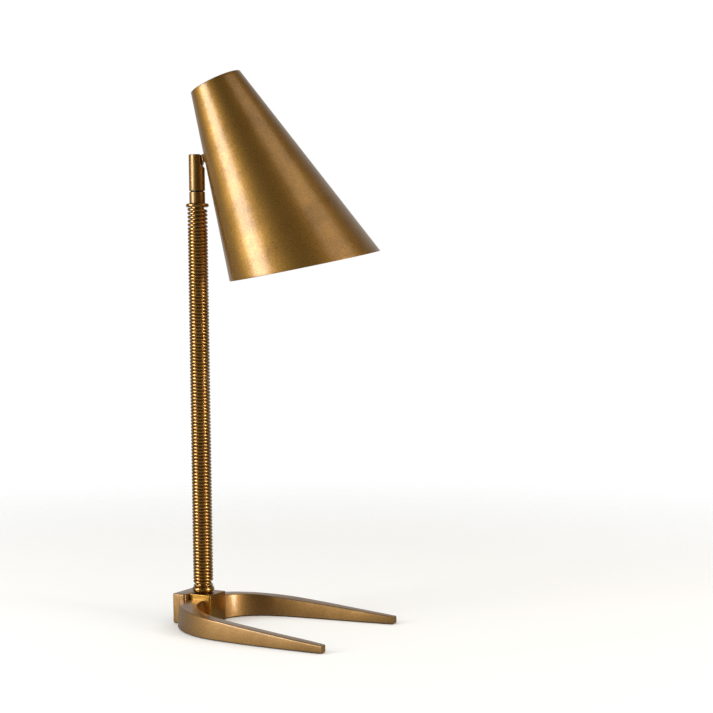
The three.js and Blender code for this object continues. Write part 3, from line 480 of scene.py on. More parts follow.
@dataclass(frozen=True)
class AgedBrass:
    """Brass that has darkened under wax: brighter where it is rubbed, browner where it is not.

    The metal's colour and roughness drift together over patches of patina_mm, with a finer mottle of
    mottle_mm in them. Lathe or belt marks of marks_mm are shallow grooves in the bump.
    """

    name: str
    bright: str = "#cc9b48"
    brown: str = "#9c7230"
    roughness: float = 0.52
    drift: float = 0.07
    patina_mm: float = 26.0
    mottle_mm: float = 1.6
    marks: Marks = Marks.NONE
    marks_mm: float = 0.5
    marks_depth: float = 0.12
    coat: float = 1.0
    coat_roughness: float = 0.24
    coat_ior: float = 1.62
    placement: Placement = UPRIGHT

    def material(self) -> bpy.types.Material:
        """Builds the node material.

        Returns:
            The material.
        """
        material, tree = blank_material(self.name)
        spot = add_node(tree, "ShaderNodeTexCoord")
        own = add_node(tree, "ShaderNodeMapping", {"vector_type": "TEXTURE"}, {
            "Vector": spot.outputs["Object"], "Location": (self.placement.origin * MM).tolist(),
            "Rotation": self.placement.tilt_angles(),
        })
        vector = own.outputs[0]
        patina = add_node(
            tree, "ShaderNodeTexNoise", None,
            {"Vector": vector, "Scale": 1 / (self.patina_mm * MM), "Detail": 4.0, "Roughness": 0.55},
        )
        mottle = add_node(
            tree, "ShaderNodeTexNoise", None,
            {"Vector": vector, "Scale": 1 / (self.mottle_mm * MM), "Detail": 3.0, "Roughness": 0.6},
        )
        blend = add_node(
            tree, "ShaderNodeMix", {"data_type": "FLOAT"},
            {"Factor": 0.6, "A": patina.outputs["Fac"], "B": mottle.outputs["Fac"]},
        )
        colour = add_node(
            tree, "ShaderNodeValToRGB", None, {"Fac": blend.outputs[0]},
            [(0.34, self.brown), (0.66, self.bright)],
        )
        rough = add_node(tree, "ShaderNodeMapRange", None, {
            "Value": blend.outputs[0], "From Min": 0.35, "From Max": 0.65,
            "To Min": self.roughness + self.drift, "To Max": self.roughness - self.drift,
        })
        relief = mottle.outputs["Fac"]
        if self.marks is not Marks.NONE:
            stretch = {Marks.RINGS: (0.02, 0.02, 1.0), Marks.LENGTHWISE: (0.03, 1.0, 1.0)}[self.marks]
            worked_vector = add_node(
                tree, "ShaderNodeMapping", None,
                {"Vector": vector, "Scale": [s / (self.marks_mm * MM) for s in stretch]},
            )
            grooves = add_node(
                tree, "ShaderNodeTexNoise", None,
                {"Vector": worked_vector.outputs[0], "Scale": 1.0, "Detail": 2.0, "Roughness": 0.5},
            )
            both = add_node(
                tree, "ShaderNodeMix", {"data_type": "FLOAT"},
                {"Factor": 0.7, "A": mottle.outputs["Fac"], "B": grooves.outputs["Fac"]},
            )
            relief = both.outputs[0]
        bump = add_node(
            tree, "ShaderNodeBump", None,
            {"Height": relief, "Strength": self.marks_depth, "Distance": 0.2 * MM},
        )
        finish_material(tree, {
            "Base Color": colour.outputs[0], "Metallic": 1.0, "Roughness": rough.outputs[0],
            "Normal": bump.outputs[0], "Coat Weight": self.coat, "Coat Roughness": self.coat_roughness,
            "Coat IOR": self.coat_ior,
        })
        return material


@dataclass(frozen=True)
class Moulded:
    """A moulded, pressed or plated surface: faint mottle in its one colour, a fine skin in the bump."""

    name: str
    colour: str
    shade_colour: str
    roughness: float
    metallic: float = 0.0
    grain_mm: float = 0.6
    relief: float = 0.08

    def material(self) -> bpy.types.Material:
        """Builds the node material.

        Returns:
            The material.
        """
        material, tree = blank_material(self.name)
        spot = add_node(tree, "ShaderNodeTexCoord")
        grain = add_node(
            tree, "ShaderNodeTexNoise", None,
            {"Vector": spot.outputs["Object"], "Scale": 1 / (self.grain_mm * MM), "Detail": 3.0},
        )
        colour = add_node(
            tree, "ShaderNodeValToRGB", None, {"Fac": grain.outputs["Fac"]},
            [(0.35, self.shade_colour), (0.65, self.colour)],
        )
        rough = add_node(
            tree,
            "ShaderNodeMapRange",
            None,
            {"Value": grain.outputs["Fac"], "To Min": self.roughness - 0.06, "To Max": self.roughness + 0.06},
        )
        bump = add_node(
            tree, "ShaderNodeBump", None,
            {"Height": grain.outputs["Fac"], "Strength": self.relief, "Distance": 0.1 * MM},
        )
        finish_material(tree, {
            "Base Color": colour.outputs[0], "Metallic": self.metallic, "Roughness": rough.outputs[0],
            "Normal": bump.outputs[0],
        })
        return material


@dataclass(frozen=True)
class OpalGlass:
    """Opal bulb glass: a glossy skin over white silica that scatters light inside it."""

    name: str = "opal glass, blown"

    def material(self) -> bpy.types.Material:
        """Builds the node material.

        Returns:
            The material.
        """
        material, tree = blank_material(self.name)
        spot = add_node(tree, "ShaderNodeTexCoord")
        haze = add_node(
            tree, "ShaderNodeTexNoise", None,
            {"Vector": spot.outputs["Object"], "Scale": 1 / (25 * MM), "Detail": 1.0},
        )
        colour = add_node(
            tree, "ShaderNodeValToRGB", None, {"Fac": haze.outputs["Fac"]},
            [(0.3, "#efeae0"), (0.7, "#f8f5ee")],
        )
        finish_material(tree, {
            "Base Color": colour.outputs[0], "Roughness": 0.12, "Subsurface Weight": 0.6,
            "Subsurface Radius": (0.01, 0.01, 0.008), "Subsurface Scale": 0.3,
        })
        return material


@dataclass(frozen=True)
class Braid:
    """Woven glass-fibre sleeve over a lead: two crossing sets of threads, wound diamond by diamond."""

    name: str = "glass braid sleeve, waxed"
    thread_mm: float = 0.9

    def material(self) -> bpy.types.Material:
        """Builds the node material.

        Returns:
            The material.
        """
        material, tree = blank_material(self.name)
        spot = add_node(tree, "ShaderNodeTexCoord")
        weave = add_node(
            tree,
            "ShaderNodeTexChecker",
            None,
            {
                "Vector": spot.outputs["Object"], "Scale": 1 / (self.thread_mm * MM),
                "Color1": linear("#cdb98f"), "Color2": linear("#a89268"),
            },
        )
        bump = add_node(
            tree, "ShaderNodeBump", None,
            {"Height": weave.outputs["Fac"], "Strength": 0.4, "Distance": 0.2 * MM},
        )
        finish_material(
            tree, {"Base Color": weave.outputs["Color"], "Roughness": 0.75, "Normal": bump.outputs[0]}
        )
        return material


# ---------------------------------------------------------------- base


@dataclass
class WishboneBase:
    """Cast crossbar with two curved arms, the block set in it, its screws, cord inlet and pads."""

    lift: float = 0.8
    arm_reach: float = 195.5
    arm_spread: float = 82.2
    tip_width: float = 8.6
    tip_height: float = 8.6
    arm_height: float = 26.2
    bend_length: float = 70.0
    inner_lean: float = 5.2
    outer_lean: float = 1.7
    top_round: float = 1.5
    bottom_round: float = 0.8
    bar_rear: float = 25.8
    bar_depth: float = 16.8
    bar_half_width: float = 22.9
    block_front: float = 19.0
    block_half_width: float = 15.6
    block_top: float = 32.7
    outlet_height: float = 20.0
    screw_offset: float = 11.6
    arm_belly: float = 4.2
    root_setback: float = 3.5
    root_overlap: float = 1.6

    def outer_wall(self, t: np.ndarray) -> np.ndarray:
        """Outer wall of an arm in plan: a cubic round the bend, then a quadratic along to the tip.

        Args:
            t: Places along the curve, from 0 to 1.

        Returns:
            Array of points.
        """
        bend_end = (self.bend_length, self.arm_spread - self.arm_belly)
        bend = bezier([
            (5.8 - self.bar_rear, self.bar_half_width - 5), (-10.0, self.arm_spread * 0.49),
            (self.bend_length * 0.2, self.arm_spread - 8.7), bend_end,
        ], np.minimum(t * 2, 1))
        run = bezier([
            bend_end, (self.bend_length + 50, self.arm_spread + 1.4), (self.arm_reach, self.arm_spread)
        ], np.maximum(t * 2 - 1, 0))
        return np.where(t[:, None] < 0.5, bend, run)

    def inner_wall(self, t: np.ndarray) -> np.ndarray:
        """Inner wall of an arm in plan: two cubics, from the block's side to the tip.

        Args:
            t: Places along the curve, from 0 to 1.

        Returns:
            Array of points.
        """
        root, tip = self.block_front - self.root_setback, self.arm_spread - self.tip_width
        bend_end = (self.bend_length - 12, tip - 16.6)
        bend = bezier([
            (root, self.block_half_width - self.root_overlap), (root - 1, tip - 42.6),
            (root + 11.5, tip - 23.6), bend_end,
        ], np.minimum(t * 2, 1))
        run = bezier([
            bend_end, (self.bend_length + 20, tip - 9.3), (self.arm_reach - 45, tip - 7.6),
            (self.arm_reach, tip),
        ], np.maximum(t * 2 - 1, 0))
        return np.where(t[:, None] < 0.5, bend, run)

    def arm_grid(self, stations: int = 160, corner_steps: int = 7) -> np.ndarray:
        """Rings of an arm: at each station a four-sided section between the walls, its corners arcs.

        The top falls in a straight line from arm_height abreast of the stem to tip_height. Both walls lean in
        as they rise, in proportion to the height, until close to the tip. A ring point is a section corner,
        moved in by the corner radius, plus that radius times the cosine and sine of the turn.

        Args:
            stations: Sections along the arm.
            corner_steps: Steps round each corner.

        Returns:
            Array of points.
        """
        t = np.linspace(0, 1, stations)
        outer, inner = self.outer_wall(t), self.inner_wall(t)
        across = inner - outer
        width = np.linalg.norm(across, axis=1)
        across = across / width[:, None]
        reach = (outer[:, 0] + inner[:, 0]) / 2 / self.arm_reach
        top = self.arm_height - (self.arm_height - self.tip_height) * reach
        lean = np.minimum(1, (1 - t) * 6) * top / self.arm_height
        zero = np.zeros_like(t)
        along = np.stack([zero, width, width - self.inner_lean * lean, self.outer_lean * lean], -1)
        height = np.stack([zero + self.lift, zero + self.lift, top, top], -1)
        radius = np.array([self.bottom_round, self.bottom_round, self.top_round, self.top_round])
        inward = np.array([[1, 1], [-1, 1], [-1, -1], [1, -1]])
        turn = np.pi + np.arange(4)[:, None] * np.pi / 2 + np.linspace(0, np.pi / 2, corner_steps)
        a = along[..., None] + radius[:, None] * (inward[:, :1] + np.cos(turn))
        z = height[..., None] + radius[:, None] * (inward[:, 1:] + np.sin(turn))
        a, z = a.reshape(stations, -1), z.reshape(stations, -1)
        ring = np.concatenate([outer[:, None] + across[:, None] * a[..., None], z[..., None]], -1)
        ends = ring.mean(axis=1, keepdims=True) + np.zeros_like(ring)
        return np.concatenate([ends[:1], ring, ends[-1:]])

    def yoke_mesh(self) -> bpy.types.Mesh:
        """Crossbar and both arms joined, cut for the block, the screws and the cord inlet.

        Returns:
            The mesh, in metres.
        """
        bar_front = self.bar_depth - self.bar_rear
        bar = block_mesh(
            "wishbone_casting", (-self.bar_rear, -self.bar_half_width, self.lift),
            (bar_front, self.bar_half_width, self.block_top), 2.8, 1.1,
        )
        grid = self.arm_grid()
        arms = [grid_mesh("arm", grid * np.array([1, side, 1]), False, True) for side in (1, -1)]
        joined = worked(bar, Joining.ADD, *arms)
        space = block_mesh(
            "space", (bar_front, -self.block_half_width - SEAT_GAP, -5),
            (self.block_front * 3, self.block_half_width + SEAT_GAP, self.block_top + 9), 0.3, 0.2,
        )
        outlet = rod_mesh(
            "outlet", (-self.bar_rear - 2, 0, self.outlet_height), (0, 0, self.outlet_height), 4.5
        )
        tools = [space, outlet]
        for side in (-1, 1):
            y = side * self.screw_offset
            tools.append(rod_mesh(
                "head_hole", (-self.bar_rear - 2, y, self.outlet_height),
                (5.5 - self.bar_rear, y, self.outlet_height), 4.7,
            ))
        return worked(joined, Joining.CUT, *tools)

    def block_piece_mesh(self) -> bpy.types.Mesh:
        """The block in front of the crossbar, with the pocket for the stem's nut under it.

        Returns:
            The mesh, in metres.
        """
        block = block_mesh(
            "stem_seat_block",
            (self.bar_depth - self.bar_rear + SEAT_GAP, -self.block_half_width, self.lift),
            (self.block_front, self.block_half_width, self.block_top), 1.6, 0.9,
        )
        return worked(
            block, Joining.CUT, rod_mesh("pocket", (0, 0, -2), (0, 0, 13.3), 12.0, sides=64),
            rod_mesh("stem_hole", (0, 0, -2), (0, 0, self.block_top + 2), 7.7, sides=64),
        )

    def gland_mesh(self) -> bpy.types.Mesh:
        """The cord inlet: a flanged bushing turned about X.

        Returns:
            The mesh, in metres.
        """
        face = self.bar_rear + SEAT_GAP
        corners = [
            (3.1, self.bar_rear - self.bar_depth + 1, 0.2), (4.2, self.bar_rear - self.bar_depth + 1, 0.2),
            (4.2, face, 0.0), (6.4, face, 0.2), (6.4, face + 2, 0.9), (3.1, face + 2, 0.7),
        ]
        outward = Placement(turned_about_y(-90), np.array([0, 0, self.outlet_height]))
        return turned_mesh("cord_inlet_bushing", corners, outward, 64)

    def build(self, finishes: "Finishes") -> None:
        """Makes the base's pieces and dresses them.

        Args:
            finishes: The lamp's materials.
        """
        Dressing("base", "cast_brass", finishes.cast, ("base_yoke",), 38).finish(self.yoke_mesh())
        block = self.block_piece_mesh()
        Dressing("base", "polished_brass", finishes.polished, ("stem_block",), 38).finish(block)
        Dressing("base", "phenolic", finishes.phenolic, ("cord_gland",)).finish(self.gland_mesh())
        for node in ("block_screw_left", "block_screw_right", "stem_nut", "stem_washer"):
            dress_node(node, finishes.steel)
        for node in ("pad_centre", "pad_left", "pad_right"):
            dress_node(node, finishes.rubber)


# ---------------------------------------------------------------- stem


@dataclass
class WoundStem:
    """The upright tube with its winding of wire, the collars at its ends and the neck on top."""

    tube_radius: float = 7.4
    wire: float = 3.5
    pitch: float = 3.6
    loose_pitch: float = 4.17
    loose_turns: float = 5.0
    coil_radius: float = 11.0
    steps_per_turn: int = 48
    neck_radius: float = 8.55
    neck_shelf: float = 7.4
    stud_way: float = 4.85
    collar_radius: float = 12.0
    ferrule_radius: float = 10.7
    ring_radius: float = 12.5

    def span(self, node: str) -> tuple[float, float]:
        """Lowest and highest height of a frame node, in millimetres."""
        low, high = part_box(node)
        return low[2] / MM, high[2] / MM

    def winding_mesh(self) -> bpy.types.Mesh:
        """The wire: a left-handed helix, its last turns a little looser.

        The height of the wire's middle rises by pitch for each turn, and by loose_pitch for the last turns. A
        point of the wire is the helix point plus the wire's radius times the cosine outward and the sine
        along the stem.

        Returns:
            The mesh, in metres.
        """
        bottom, top = self.span("stem_coil")
        low, high = bottom + self.wire / 2, top - self.wire / 2
        tight = (high - low - self.loose_turns * self.loose_pitch) / self.pitch
        turns = tight + self.loose_turns
        turn = np.linspace(0, turns, int(turns * self.steps_per_turn))
        height = low + self.pitch * turn + (self.loose_pitch - self.pitch) * np.maximum(turn - tight, 0)
        angle = -2 * np.pi * turn
        outward = np.stack([np.cos(angle), np.sin(angle), 0 * angle], -1)
        centre = outward * (self.coil_radius - self.wire / 2)
        centre[:, 2] = height
        section = np.linspace(0, 2 * np.pi, 12, endpoint=False)
        grid = (
            centre[:, None]
            + self.wire / 2 * np.cos(section)[:, None] * outward[:, None]
            + self.wire / 2 * np.sin(section)[:, None] * np.array([0, 0, 1])
        )
        ends = centre[[0, -1], None] + np.zeros((2, len(section), 3))
        return grid_mesh("wire_winding", np.concatenate([ends[:1], grid, ends[1:]]), False, True)

    def bead_mesh(self, name: str, node: str, radius: float) -> bpy.types.Mesh:
        """A turned ring with a full round outside, in a frame node's place.

        Args:
            name: Name of the mesh.
            node: The frame node's name.
            radius: Outer radius of the ring.

        Returns:
            The mesh, in metres.
        """
        low, high = self.span(node)
        height = high - low
        bead = min(height / 2, radius - self.tube_radius - SEAT_GAP - 0.5)
        bore = self.tube_radius + SEAT_GAP
        bend = bead * 0.96
        corners = [(bore, low, 0.0), (radius, low, bend), (radius, high, bend), (bore, high, 0.0)]
        return turned_mesh(name, corners, sides=128, steps=12)

    def neck_mesh(self) -> bpy.types.Mesh:
        """The neck: a turned cap over the tube's end.

        Returns:
            The mesh, in metres.
        """
        low, high = self.span("neck")
        socket, shelf = self.tube_radius + SEAT_GAP, high - self.neck_shelf
        corners = [
            (socket, low, 0.0), (self.neck_radius, low, 0.35), (self.neck_radius, high, 0.5),
            (self.stud_way, high, 0.0), (self.stud_way, shelf, 0.0), (socket, shelf, 0.0),
        ]
        return turned_mesh("neck_socket", corners, sides=128)

    def build(self, finishes: "Finishes") -> None:
        """Makes the stem's pieces and dresses them.

        Args:
            finishes: The lamp's materials.
        """
        wire = Dressing("base", "wire_brass", finishes.wire, ("stem_coil",), 60)
        wire.finish(self.winding_mesh())
        for name, node, radius in (
            ("lower_collar", "stem_collar", self.collar_radius),
            ("lower_ferrule", "stem_ferrule", self.ferrule_radius),
            ("upper_ring", "stem_top_ring", self.ring_radius),
        ):
            bead = self.bead_mesh(name, node, radius)
            Dressing("base", "wire_brass", finishes.wire, (node,), 50).finish(bead)
        Dressing("base", "turned_brass", finishes.turned, ("neck",), 40).finish(self.neck_mesh())
        dress_node("stem_tube", finishes.wire)
        # The friction washer is near-black partly as a blackened finish and partly as painted shade in the
        # seam between neck and knuckle.
        dress_node("friction_washer", finishes.blackened)
        dress_node("stem_lead", finishes.braid)


# ---------------------------------------------------------------- knuckle


@dataclass
class SwivelKnuckle:
    """The slotted knuckle that swivels on the neck, with its stud and hinge pins."""

    placement: Placement
    radius: float = 8.63
    bottom: float = 471.1
    length: float = 39.2
    pivot_drop: float = 4.8
    slot_width: float = 7.2
    slot_back: float = 5.0
    slot_depth: float = 13.4
    relief_front: float = 4.8
    relief_flat: float = 3.7
    relief_run: float = 6.2
    lead_way: float = 2.9
    stud_radius: float = 5.0
    stud_grip: float = 11.3
    pin_radius: float = 1.5
    pin_inner: float = 2.35
    pin_outer: float = 8.43

    def relief_mesh(self) -> bpy.types.Mesh:
        """The tool that cuts back the front of the ears: a side outline carried across the knuckle.

        Returns:
            The mesh, in metres.
        """
        top = self.bottom + self.length
        flat_end = top - self.pivot_drop - self.relief_flat
        run = bezier([
            (self.relief_front, flat_end), (self.relief_front + 0.6, flat_end - self.relief_run * 0.6),
            (self.radius, flat_end - self.relief_run),
        ], np.linspace(0, 1, 12))
        outline = np.concatenate([
            [
                (self.relief_front - 0.6, top + 2), (self.relief_front - 0.6, top),
                (self.relief_front, top - 0.6),
            ],
            run,
            [(self.radius + 4, flat_end - self.relief_run), (self.radius + 4, top + 2)],
        ])
        middle = np.array([self.radius + 1, top - 4])
        outline = np.concatenate([outline, outline[:1]])
        half = self.radius + 2
        rows = [(middle, -half), (outline, -half), (outline, half), (middle, half)]
        grid = np.stack([
            np.stack([
                np.broadcast_to(side[..., 0], len(outline)), np.full(len(outline), y),
                np.broadcast_to(side[..., 1], len(outline)),
            ], -1)
            for side, y in rows
        ])
        return grid_mesh("relief", self.placement.place(grid), False, False)

    def body_mesh(self) -> bpy.types.Mesh:
        """The knuckle: a turned bar, slotted, with the ears' front cut back and the hinge bored across.

        Returns:
            The mesh, in metres.
        """
        top = self.bottom + self.length
        pivot = top - self.pivot_drop
        bar = turned_mesh("knuckle_body", [
            (0, self.bottom, 0.0), (self.radius, self.bottom, 0.45), (self.radius, top, 0.6), (0, top, 0.0)
        ], self.placement, 160, hollow=False)
        slot = block_mesh(
            "slot", (-self.slot_back, -self.slot_width / 2, top - self.slot_depth),
            (self.radius + 3, self.slot_width / 2, top + 3), 0.25, 0.2, self.placement,
        )
        bore = rod_mesh("bore", (0, 0, self.bottom - 1), (0, 0, top - self.slot_depth + 1), self.lead_way,
                        self.placement)
        cross = rod_mesh("cross", (0, -self.radius - 2, pivot), (0, self.radius + 2, pivot),
                         self.pin_radius + 0.15, self.placement)
        stud_hole = rod_mesh("stud_hole", (0, 0, self.bottom - 1), (0, 0, self.bottom + self.stud_grip),
                             self.stud_radius, self.placement)
        return worked(bar, Joining.CUT, slot, self.relief_mesh(), bore, cross, stud_hole)

    def build(self, finishes: "Finishes") -> None:
        """Makes the knuckle's pieces and dresses them.

        Args:
            finishes: The lamp's materials.
        """
        Dressing("head", "turned_brass", finishes.turned, ("knuckle",), 35).finish(self.body_mesh())
        pivot = self.bottom + self.length - self.pivot_drop
        for side, word in ((1, "left"), (-1, "right")):
            pin = rod_mesh(
                "pin_" + word, (0, side * self.pin_inner, pivot), (0, side * self.pin_outer, pivot),
                self.pin_radius, self.placement, 48, 0.2,
            )
            Dressing("head", "turned_brass", finishes.turned, ("hinge_pin_" + word,), 35).finish(pin)
        dress_node("swivel_stud", finishes.steel)


# ---------------------------------------------------------------- shade


@dataclass
class ConeShade:
    """The conical shade, the leaf it tilts on and the disc that closes its top.

    Its own frame has the origin at the middle of the top edge, -Z down the axis and +X to the front.
    """

    placement: Placement
    top_radius: float = 29.06
    half_angle: float = 13.2
    length: float = 219.8
    wall: float = 0.9
    rim_slant: float = 13.7
    rim_clock: float = -10.7
    hinge_drop: float = 70.3
    standoff: float = 8.93
    leaf_thickness: float = 6.6
    leaf_radius: float = 3.9
    leaf_belly: float = 7.4
    leaf_belly_front: float = 6.4
    foot_up: float = 3.2
    foot_down: float = 5.2
    foot_thickness: float = 1.6
    foot_half_width: float = 7.4
    cap_depth: float = 6.0
    cap_thickness: float = 1.5

    def hinge(self) -> Placement:
        """The hinge's frame: origin on the tilt axis, +X square into the shade's wall, +Z up the wall."""
        alpha = math.radians(self.half_angle)
        origin = np.array([
            -(self.top_radius + self.hinge_drop * math.sin(alpha)) - self.standoff * math.cos(alpha), 0,
            -self.hinge_drop * math.cos(alpha) + self.standoff * math.sin(alpha),
        ])
        return self.placement.within(turned_about_y(self.half_angle), origin)

    def wall_radius(self, depth: np.ndarray | float, offset: float = 0.0) -> np.ndarray | float:
        """Radius of the wall at a depth below the top edge, moved out by offset square to the wall."""
        alpha = math.radians(self.half_angle)
        return self.top_radius + depth * math.tan(alpha) + offset / math.cos(alpha)

    def rim_depth(self, angle: np.ndarray, radius_at_top: float) -> np.ndarray:
        """Depth where the slanted rim plane meets the cone that has this radius at the top edge.

        Args:
            angle: Angles round the axis.
            radius_at_top: The cone's radius at the top edge.

        Returns:
            The depth at each angle.
        """
        slope = math.tan(math.radians(self.half_angle))
        lean = np.cos(angle - math.radians(self.rim_clock)) * math.tan(math.radians(self.rim_slant))
        return (self.length + radius_at_top * lean) / (1 - slope * lean)

    def wall_mesh(self) -> bpy.types.Mesh:
        """The sheet: down the outside, round the rim, up the inside and round the top edge.

        At each angle a point's depth is its share of the way from the top edge to the slanted rim, and its
        radius is the cone's at that depth less its share of the wall.

        Returns:
            The mesh, in metres.
        """
        angle = np.linspace(0, 2 * np.pi, 288, endpoint=False)
        run = np.linspace(0, 1, 60)
        fold = np.linspace(0, np.pi, 8)[1:-1]
        share = np.concatenate([run, np.ones_like(fold), run[::-1], np.zeros_like(fold)])
        half = self.wall / 2
        across = np.concatenate([
            np.full_like(run, half), half * np.cos(fold), np.full_like(run, -half), -half * np.cos(fold)
        ])
        along = np.concatenate([0 * run, half * np.sin(fold), 0 * run, -half * np.sin(fold)])
        rim = self.rim_depth(angle, self.wall_radius(0, -half)) - half
        top = half
        depth = top + share[:, None] * (rim - top) + along[:, None]
        radius = self.wall_radius(depth, -half) + across[:, None] / math.cos(math.radians(self.half_angle))
        grid = np.stack([radius * np.cos(angle), radius * np.sin(angle), -depth], -1)
        return grid_mesh("shade_cone", self.placement.place(grid), True, True)

    def cone_tool(self, offset: float) -> bpy.types.Mesh:
        """A solid cone that follows the wall, moved out by offset.

        Args:
            offset: Distance outward.

        Returns:
            The mesh, in metres.
        """
        depth = self.length * 1.4
        profile = np.array([
            (0, -depth), (self.wall_radius(depth, offset), -depth), (self.wall_radius(-10, offset), 10),
            (0, 10),
        ])
        return grid_mesh("cone", self.placement.place(turned_grid(profile, 288)), False, True)

    def leaf_mesh(self) -> bpy.types.Mesh:
        """The leaf: a barrel in the knuckle's slot on a foot that fits the shade's wall.

        Returns:
            The mesh, in metres.
        """
        hinge = self.hinge()
        half = self.leaf_thickness / 2
        foot_back = self.standoff - SEAT_GAP - self.foot_thickness
        barrel = rod_mesh("shade_leaf", (0, -half, 0), (0, half, 0), self.leaf_radius, hinge, 72, 0.4)
        web = block_mesh(
            "web", (0, SHY - half, -self.leaf_radius), (foot_back + 0.5, half - SHY, self.foot_up),
            0.4, 0.3, hinge,
        )
        foot = block_mesh(
            "foot", (foot_back, -self.foot_half_width, -self.foot_down),
            (self.standoff + 3, self.foot_half_width, self.foot_up), 0.5, 0.4, hinge,
        )
        belly = block_mesh(
            "belly", (-2 * SHY, 2 * SHY - half, -self.leaf_belly),
            (self.leaf_belly_front, half - 2 * SHY, 0.3), 0.5, 0.5, hinge,
        )
        joined = worked(barrel, Joining.ADD, web, foot, belly)
        way = rod_mesh("way", (-self.leaf_radius - 1, 0, 0), (self.standoff + 5, 0, 0), 1.8, hinge)
        return worked(joined, Joining.CUT, self.cone_tool(SEAT_GAP), way)

    def disc_mesh(self) -> bpy.types.Mesh:
        """The disc that closes the shade: a dished ring on the nipple, pierced by a circle of vents.

        Returns:
            The mesh, in metres.
        """
        bottom = self.cap_depth + self.cap_thickness
        inset = -self.wall - SEAT_GAP
        disc = turned_mesh("shade_disc", [
            (5.2, -bottom, 0.2), (self.wall_radius(bottom, inset), -bottom, 0.3),
            (self.wall_radius(self.cap_depth, inset), -self.cap_depth, 0.3), (5.2, -self.cap_depth, 0.2),
        ], self.placement, 144)
        angles = np.arange(8) * np.pi / 4
        vents = [
            rod_mesh(
                "vent", (19 * math.cos(angle), 19 * math.sin(angle), -bottom - 1),
                (19 * math.cos(angle), 19 * math.sin(angle), -self.cap_depth + 1), 2.6, self.placement,
            )
            for angle in angles
        ]
        return worked(disc, Joining.CUT, *vents)

    def build(self, finishes: "Finishes") -> None:
        """Makes the shade's pieces and dresses them.

        Args:
            finishes: The lamp's materials.
        """
        Dressing("lampshade", "satin_brass", finishes.shade, ("shade",), 50).finish(self.wall_mesh())
        Dressing("lampshade", "cast_brass", finishes.leaf, ("hinge_leaf",), 35).finish(self.leaf_mesh())
        Dressing("lampshade", "satin_brass", finishes.shade, ("shade_cap",), 35).finish(self.disc_mesh())
        nut = turned_mesh("cap_nut_dome", [
            (PINHOLE, -self.cap_depth + SEAT_GAP, 0.0), (7.4, -self.cap_depth + SEAT_GAP, 0.2),
            (7.4, -self.cap_depth + 1.4, 0.4), (4.6, -self.cap_depth + 4.7, 2.2),
            (PINHOLE, -self.cap_depth + 5.3, 0.0),
        ], self.placement, 96)
        Dressing("lampshade", "polished_brass", finishes.polished, ("cap_nut",), 40).finish(nut)
        for node in ("leaf_plate", "leaf_screw_left", "leaf_screw_right", "holder_nipple"):
            dress_node(node, finishes.steel)


